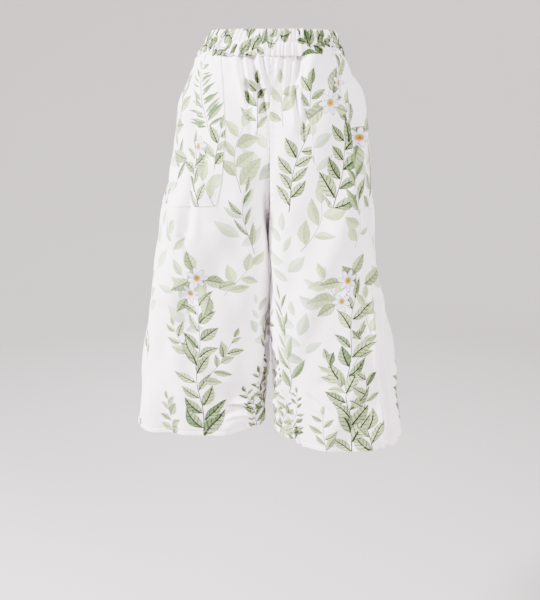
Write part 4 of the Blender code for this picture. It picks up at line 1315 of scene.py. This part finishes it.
def rucheProfile(share, rng):
    # puffs with sharp valleys between them, each with its own width and height
    settings = bandSettings
    count = settings["ruches"]
    sizes = 1 + rng.uniform(-1, 1, count) * settings["unevenWidth"]
    edges = np.concatenate(((0.0,), np.cumsum(sizes))) / sizes.sum()
    heights = rng.uniform(*settings["unevenHeight"], count)
    k = np.clip(np.searchsorted(edges, share, side="right") - 1, 0, count - 1)
    local = (share - edges[k]) / (edges[k + 1] - edges[k])
    nearby = np.where(local < 0.5, np.roll(heights, 1)[k], np.roll(heights, -1)[k])
    height = heights[k] + (nearby - heights[k]) * 0.5 * np.abs(2 * local - 1) ** 3
    rise, sharpness, depth = settings["valley"]
    return height * (rise * np.abs(np.sin(math.pi * local)) ** sharpness - depth)


def bandGrid():
    settings = bandSettings
    rng = np.random.default_rng(settings["seed"])
    share = np.linspace(0, 1, settings["ruches"] * settings["samples"] + 1)
    upper, lower, whole = (rucheProfile(share, rng) for _ in range(3))
    place, reach, off = settings["flatter"]
    flatter = 1 - off * bell(share - place, reach)
    meet, over, tall = settings["halves"]
    fade, lowEdge, lowRun = settings["edges"]
    waves = sum(part * np.sin(2 * math.pi * (turns * share + start))
                for turns, start, part in settings["driftWaves"])
    sway = settings["drift"] * waves * np.sin(math.pi * share)
    rows = [(drop / 1000, part, extra / 1000) for drop, part, extra in settings["outside"]]
    rows += [(drop / 1000, None, 0.0) for drop in settings["insideDrops"]]
    points = []
    for drop, part, extra in rows:
        curve, outward, run, front = ringCurve(drop)
        at, push, lift = share, settings["inside"], 0.0
        if part is not None:
            height = drop / garment["bandHeight"]
            blend = float(ease((height - meet) / over))
            ruche = (tall * (upper * (1 - blend) + lower * blend) + settings["whole"] * whole) * flatter
            at = np.clip(share + sway * (height - 0.5), 0, 1)
            push = settings["base"] + extra + settings["height"] * ruche * part
            push = np.maximum(push, settings["inside"] + settings["leastThickness"])
            edge = float(ease(1 - drop / fade) - ease((height - lowEdge) / lowRun))
            lift = settings["edgeLift"] * edge * ruche
        spot = lookUp(at, run, curve) + lookUp(at, run, outward) * np.reshape(push, (-1, 1))
        up = np.full(len(share), toZ(drop) - settings["sink"]) + lift
        points.append(np.column_stack((spot, up)))
    points = np.array(points)
    points[:, -1] = points[:, 0]
    steps = np.linalg.norm(np.diff(points[settings["measuredRow"]], axis=0), axis=1)
    along = np.concatenate(((0.0,), np.cumsum(steps))) * settings["stretch"]
    width = np.interp(front, share, along) - along
    drops = np.array([row[0] for row in rows])[:, None]
    # the print bunches up unevenly where the cloth is gathered
    reach, around, down = settings["bunch"]
    widths = width + reach * np.sin(2 * math.pi * (share * around + drops * down))
    return {"points": points, "width": widths, "drop": np.repeat(drops, len(width), axis=1)}


grids["waistband"] = bandGrid()
band = clothRing("ruched_waistband", grids["waistband"], printMarks("waistband"), 1)
band.data.materials.append(materials["band"])
pieces["waistband"] = band
print("waistband quads", len(band.data.polygons))


# Topstitching: one Geometry Nodes tree for every row

stitchColumns = ("Pitch", "Stitch", "Thread")
stitchSettings = {"hem": (0.0034, 0.0026, 0.00042), "pocket": (0.0031, 0.0024, 0.00038)}
stitchLift = 0.00012


def stitchTree():
    tree = bpy.data.node_groups.new("rowOfStitches", "GeometryNodeTree")
    for label in ("Geometry", *stitchColumns, "Material"):
        kind = "Float" if label in stitchColumns else label
        tree.interface.new_socket(name=label, in_out="INPUT", socket_type="NodeSocket" + kind)
    tree.interface.new_socket(name="Geometry", in_out="OUTPUT", socket_type="NodeSocketGeometry")
    given, end = tree.nodes.new("NodeGroupInput").outputs, tree.nodes.new("NodeGroupOutput")

    def step(kind, values, output, **settings):
        return node(tree, "GeometryNode" + kind, values, **settings).outputs[output]

    curve = step("MeshToCurve", {"Mesh": given["Geometry"]}, "Curve")
    spaced = {"Curve": curve, "Length": given["Pitch"]}
    places = node(tree, "GeometryNodeCurveToPoints", spaced, mode="LENGTH").outputs
    turn = node(tree, "FunctionNodeAlignRotationToVector", {"Vector": places["Tangent"]}, axis="Z")
    sides = {"X": given["Thread"], "Y": given["Thread"], "Z": given["Stitch"]}
    size = node(tree, "ShaderNodeCombineXYZ", sides)
    bead = step("MeshUVSphere", {"Segments": 6, "Rings": 5, "Radius": 0.5}, "Mesh")
    rows = step("InstanceOnPoints", {
        "Points": places["Points"], "Instance": bead,
        "Rotation": turn.outputs["Rotation"], "Scale": size.outputs["Vector"]}, "Instances")
    real = step("RealizeInstances", {"Geometry": rows}, "Geometry")
    smooth = step("SetShadeSmooth", {"Geometry": real}, "Geometry")
    finish = step("SetMaterial", {"Geometry": smooth, "Material": given["Material"]}, "Geometry")
    connect(tree, finish, end.inputs["Geometry"])
    return tree


stitchNodes = stitchTree()


def stitchRow(name, lines, sizes):
    verts, edges = [], []
    for line in lines:
        first = len(verts)
        verts += [tuple(p) for p in line]
        edges += [(first + k, first + k + 1) for k in range(len(line) - 1)]
    mesh = bpy.data.meshes.new(name + "_line")
    mesh.from_pydata(verts, edges, [])
    guide = link(name + "_line", mesh)
    modifier = guide.modifiers.new("stitches", "NODES")
    modifier.node_group = stitchNodes
    values = dict(zip(stitchColumns, sizes), Material=materials["thread"])
    for item in stitchNodes.interface.items_tree:
        if item.in_out == "INPUT" and item.name in values:
            modifier[item.identifier] = values[item.name]
    bpy.context.view_layer.update()
    ready = guide.evaluated_get(bpy.context.evaluated_depsgraph_get())
    made = link(name, bpy.data.meshes.new_from_object(ready))
    bpy.data.objects.remove(guide, do_unlink=True)
    return made


def raised(grid, sign, rows, columns):
    normals = gridNormals(grid["points"], sign)
    return grid["points"][rows, columns] + normals[rows, columns] * stitchLift


def nearest(values, wanted):
    return int(np.argmin(np.abs(values - wanted)))


stitches = {}
for side in ("right", "left"):
    hems = []
    for face in ("front", "back"):
        grid = grids[f"{face}_{side}"]
        row = nearest(grid["rowDrops"][:-turnedRows], garment["length"] - panelSettings["hemDepth"])
        hems.append(raised(grid, faceSign(side, face), row, panelCore))
    stitches["hem_" + side] = stitchRow("stitches_hem_" + side, hems, stitchSettings["hem"])
    # down a patch's inner edge and along its bottom, then down its mouth
    grid, sign, settings = grids["pocket_" + side], faceSign(side, "front"), pocketSettings
    inward = settings["edgeRows"].index(settings["stitchIn"])
    bottomRow = len(grid["points"]) - 1 - inward
    down = raised(grid, sign, slice(2, bottomRow + 1), inward)
    along = raised(grid, sign, bottomRow, slice(inward + 1, -1))
    mouthRow = nearest(grid["drop"][:, -1], settings["mouthEnd"])
    mouthColumn = nearest((1 - grid["columnShares"]) * settings["mouthWidth"], settings["mouthHem"])
    rows = [np.concatenate((down, along)), raised(grid, sign, slice(2, mouthRow), mouthColumn)]
    stitches["pocket_" + side] = stitchRow("stitches_pocket_" + side, rows, stitchSettings["pocket"])
print("stitches:", sum(len(s.data.polygons) for s in stitches.values()), "faces")


# How the pieces belong to the part

for key, piece in pieces.items():
    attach(piece, "root")
    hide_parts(key)
for key, row in stitches.items():
    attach(row, "root")
    "pocket_cloth" if "pocket" in key else "leg_cloth"

# what shows of a patch and of the band, laid flat: width, length, area
cutSizes = {
    "pocket_right": (0.215, 0.245, 0.039),
    "pocket_left": (0.175, 0.245, 0.036),
    "waistband": (0.880, 0.0375, 0.033),
}


def flatCut(grid):
    # the same for a panel: its widest row, the length down its middle and the area between
    shown = slice(0, -turnedRows)
    across = grid["width"][shown].max(axis=1) - grid["width"][shown].min(axis=1)
    middle = grid["points"][shown, grid["points"].shape[1] // 2]
    length = np.linalg.norm(np.diff(middle, axis=0), axis=1).sum()
    area = (0.5 * (across[1:] + across[:-1]) * np.diff(grid["rowDrops"][shown])).sum()
    return round(float(across.max()), 3), round(float(length), 3), round(float(area), 3)


for key, piece in pieces.items():
    width, length, area = cutSizes[key] if key in cutSizes else flatCut(grids[key])
    print("flat cut of", key, width, length, area)
    held = "gathered" if key == "waistband" else "hung"
    rests = [] if key == "waistband" else ["ruched_waistband"]


# Floor, light and camera

stageSettings = {
    "floorDrop": 1.60,
    "flat": 3.0,          # radius of the flat floor
    "curve": 2.2,         # radius of the curve up to the wall
    "wall": 3.9,
    "colour": tone(208, 202, 203),
    "around": 96,
    "curveRings": 24,
    "roughness": 0.9,
}


def studioBowl():
    # a pale floor that curves up into a wall all round
    settings = stageSettings
    flat, curve, around = settings["flat"], settings["curve"], settings["around"]
    profile = [(0.8, 0.0), (flat, 0.0)]
    for k in range(1, settings["curveRings"] + 1):
        turn = k / settings["curveRings"] * math.pi / 2
        profile.append((flat + curve * math.sin(turn), curve * (1 - math.cos(turn))))
    profile.append((flat + curve, settings["wall"]))
    angles = [2 * math.pi * k / around for k in range(around)]
    verts = [(0.0, 0.0, 0.0)]
    for radius, height in profile:
        verts += [(radius * math.cos(a), radius * math.sin(a), height) for a in angles]
    faces = [(0, 1 + k, 1 + (k + 1) % around) for k in range(around)]
    for ring in range(len(profile) - 1):
        a, b = 1 + ring * around, 1 + (ring + 1) * around
        faces += [(a + k, b + k, b + (k + 1) % around, a + (k + 1) % around) for k in range(around)]
    bowl = meshFromFaces("studioFloor", np.array(verts) - (0.0, 0.0, settings["floorDrop"]), faces)
    made, tree, surface = newMaterial("paleFloor")
    mottle = noise(tree, node(tree, "ShaderNodeTexCoord").outputs["Object"], 1.2, 2.0)
    darker = tuple(c * 0.95 for c in settings["colour"][:3]) + (1.0,)
    connect(tree, blendColours(tree, mottle, settings["colour"], darker), surface["Base Color"])
    connect(tree, settings["roughness"], surface["Roughness"])
    bowl.data.materials.append(made)


def areaLight(name, place, aim, size, power, colour):
    data = bpy.data.lights.new(name, "AREA")
    data.shape, data.size, data.energy, data.color = "DISK", size, power, colour
    light = link(name, data)
    light.location = place
    x, y, z = np.array(aim) - np.array(place)
    light.rotation_euler = (math.atan2(math.hypot(x, y), -z), 0.0, math.atan2(x, -y) + math.pi)


studioBowl()
# place, what it points at, size, power, colour
lights = {
    "keyLight": ((-2.4, -1.0, 1.2), (0, 0, -0.35), 0.6, 645.0, (1.0, 0.985, 0.98)),
    "fillLight": ((1.7, -2.3, 1.3), (0, 0, -0.35), 1.2, 256.0, (1.0, 0.97, 0.965)),
    "rearLight": ((1.2, 2.6, 2.2), (0, 0, -0.2), 1.8, 50.0, (1.0, 0.99, 0.985)),
}
for name, settings in lights.items():
    areaLight(name, *settings)
world = bpy.data.worlds.new("studioLight")
world.use_nodes = True
background = world.node_tree.nodes["Background"].inputs
background["Color"].default_value = (0.97, 0.93, 0.97, 1.0)
background["Strength"].default_value = 0.20
bpy.context.scene.world = world

cameraSettings = {"lens": 42.0, "sensor": 36.0, "place": (0.0, -1.2031, -0.02995), "tilt": 18.7}
camera = link("camera", bpy.data.cameras.new("camera"))
camera.data.lens = cameraSettings["lens"]
camera.data.sensor_width = cameraSettings["sensor"]
camera.location = cameraSettings["place"]
camera.rotation_euler = (math.radians(90 - cameraSettings["tilt"]), 0.0, 0.0)
bpy.context.scene.camera = camera
print("stage, lights and camera made")
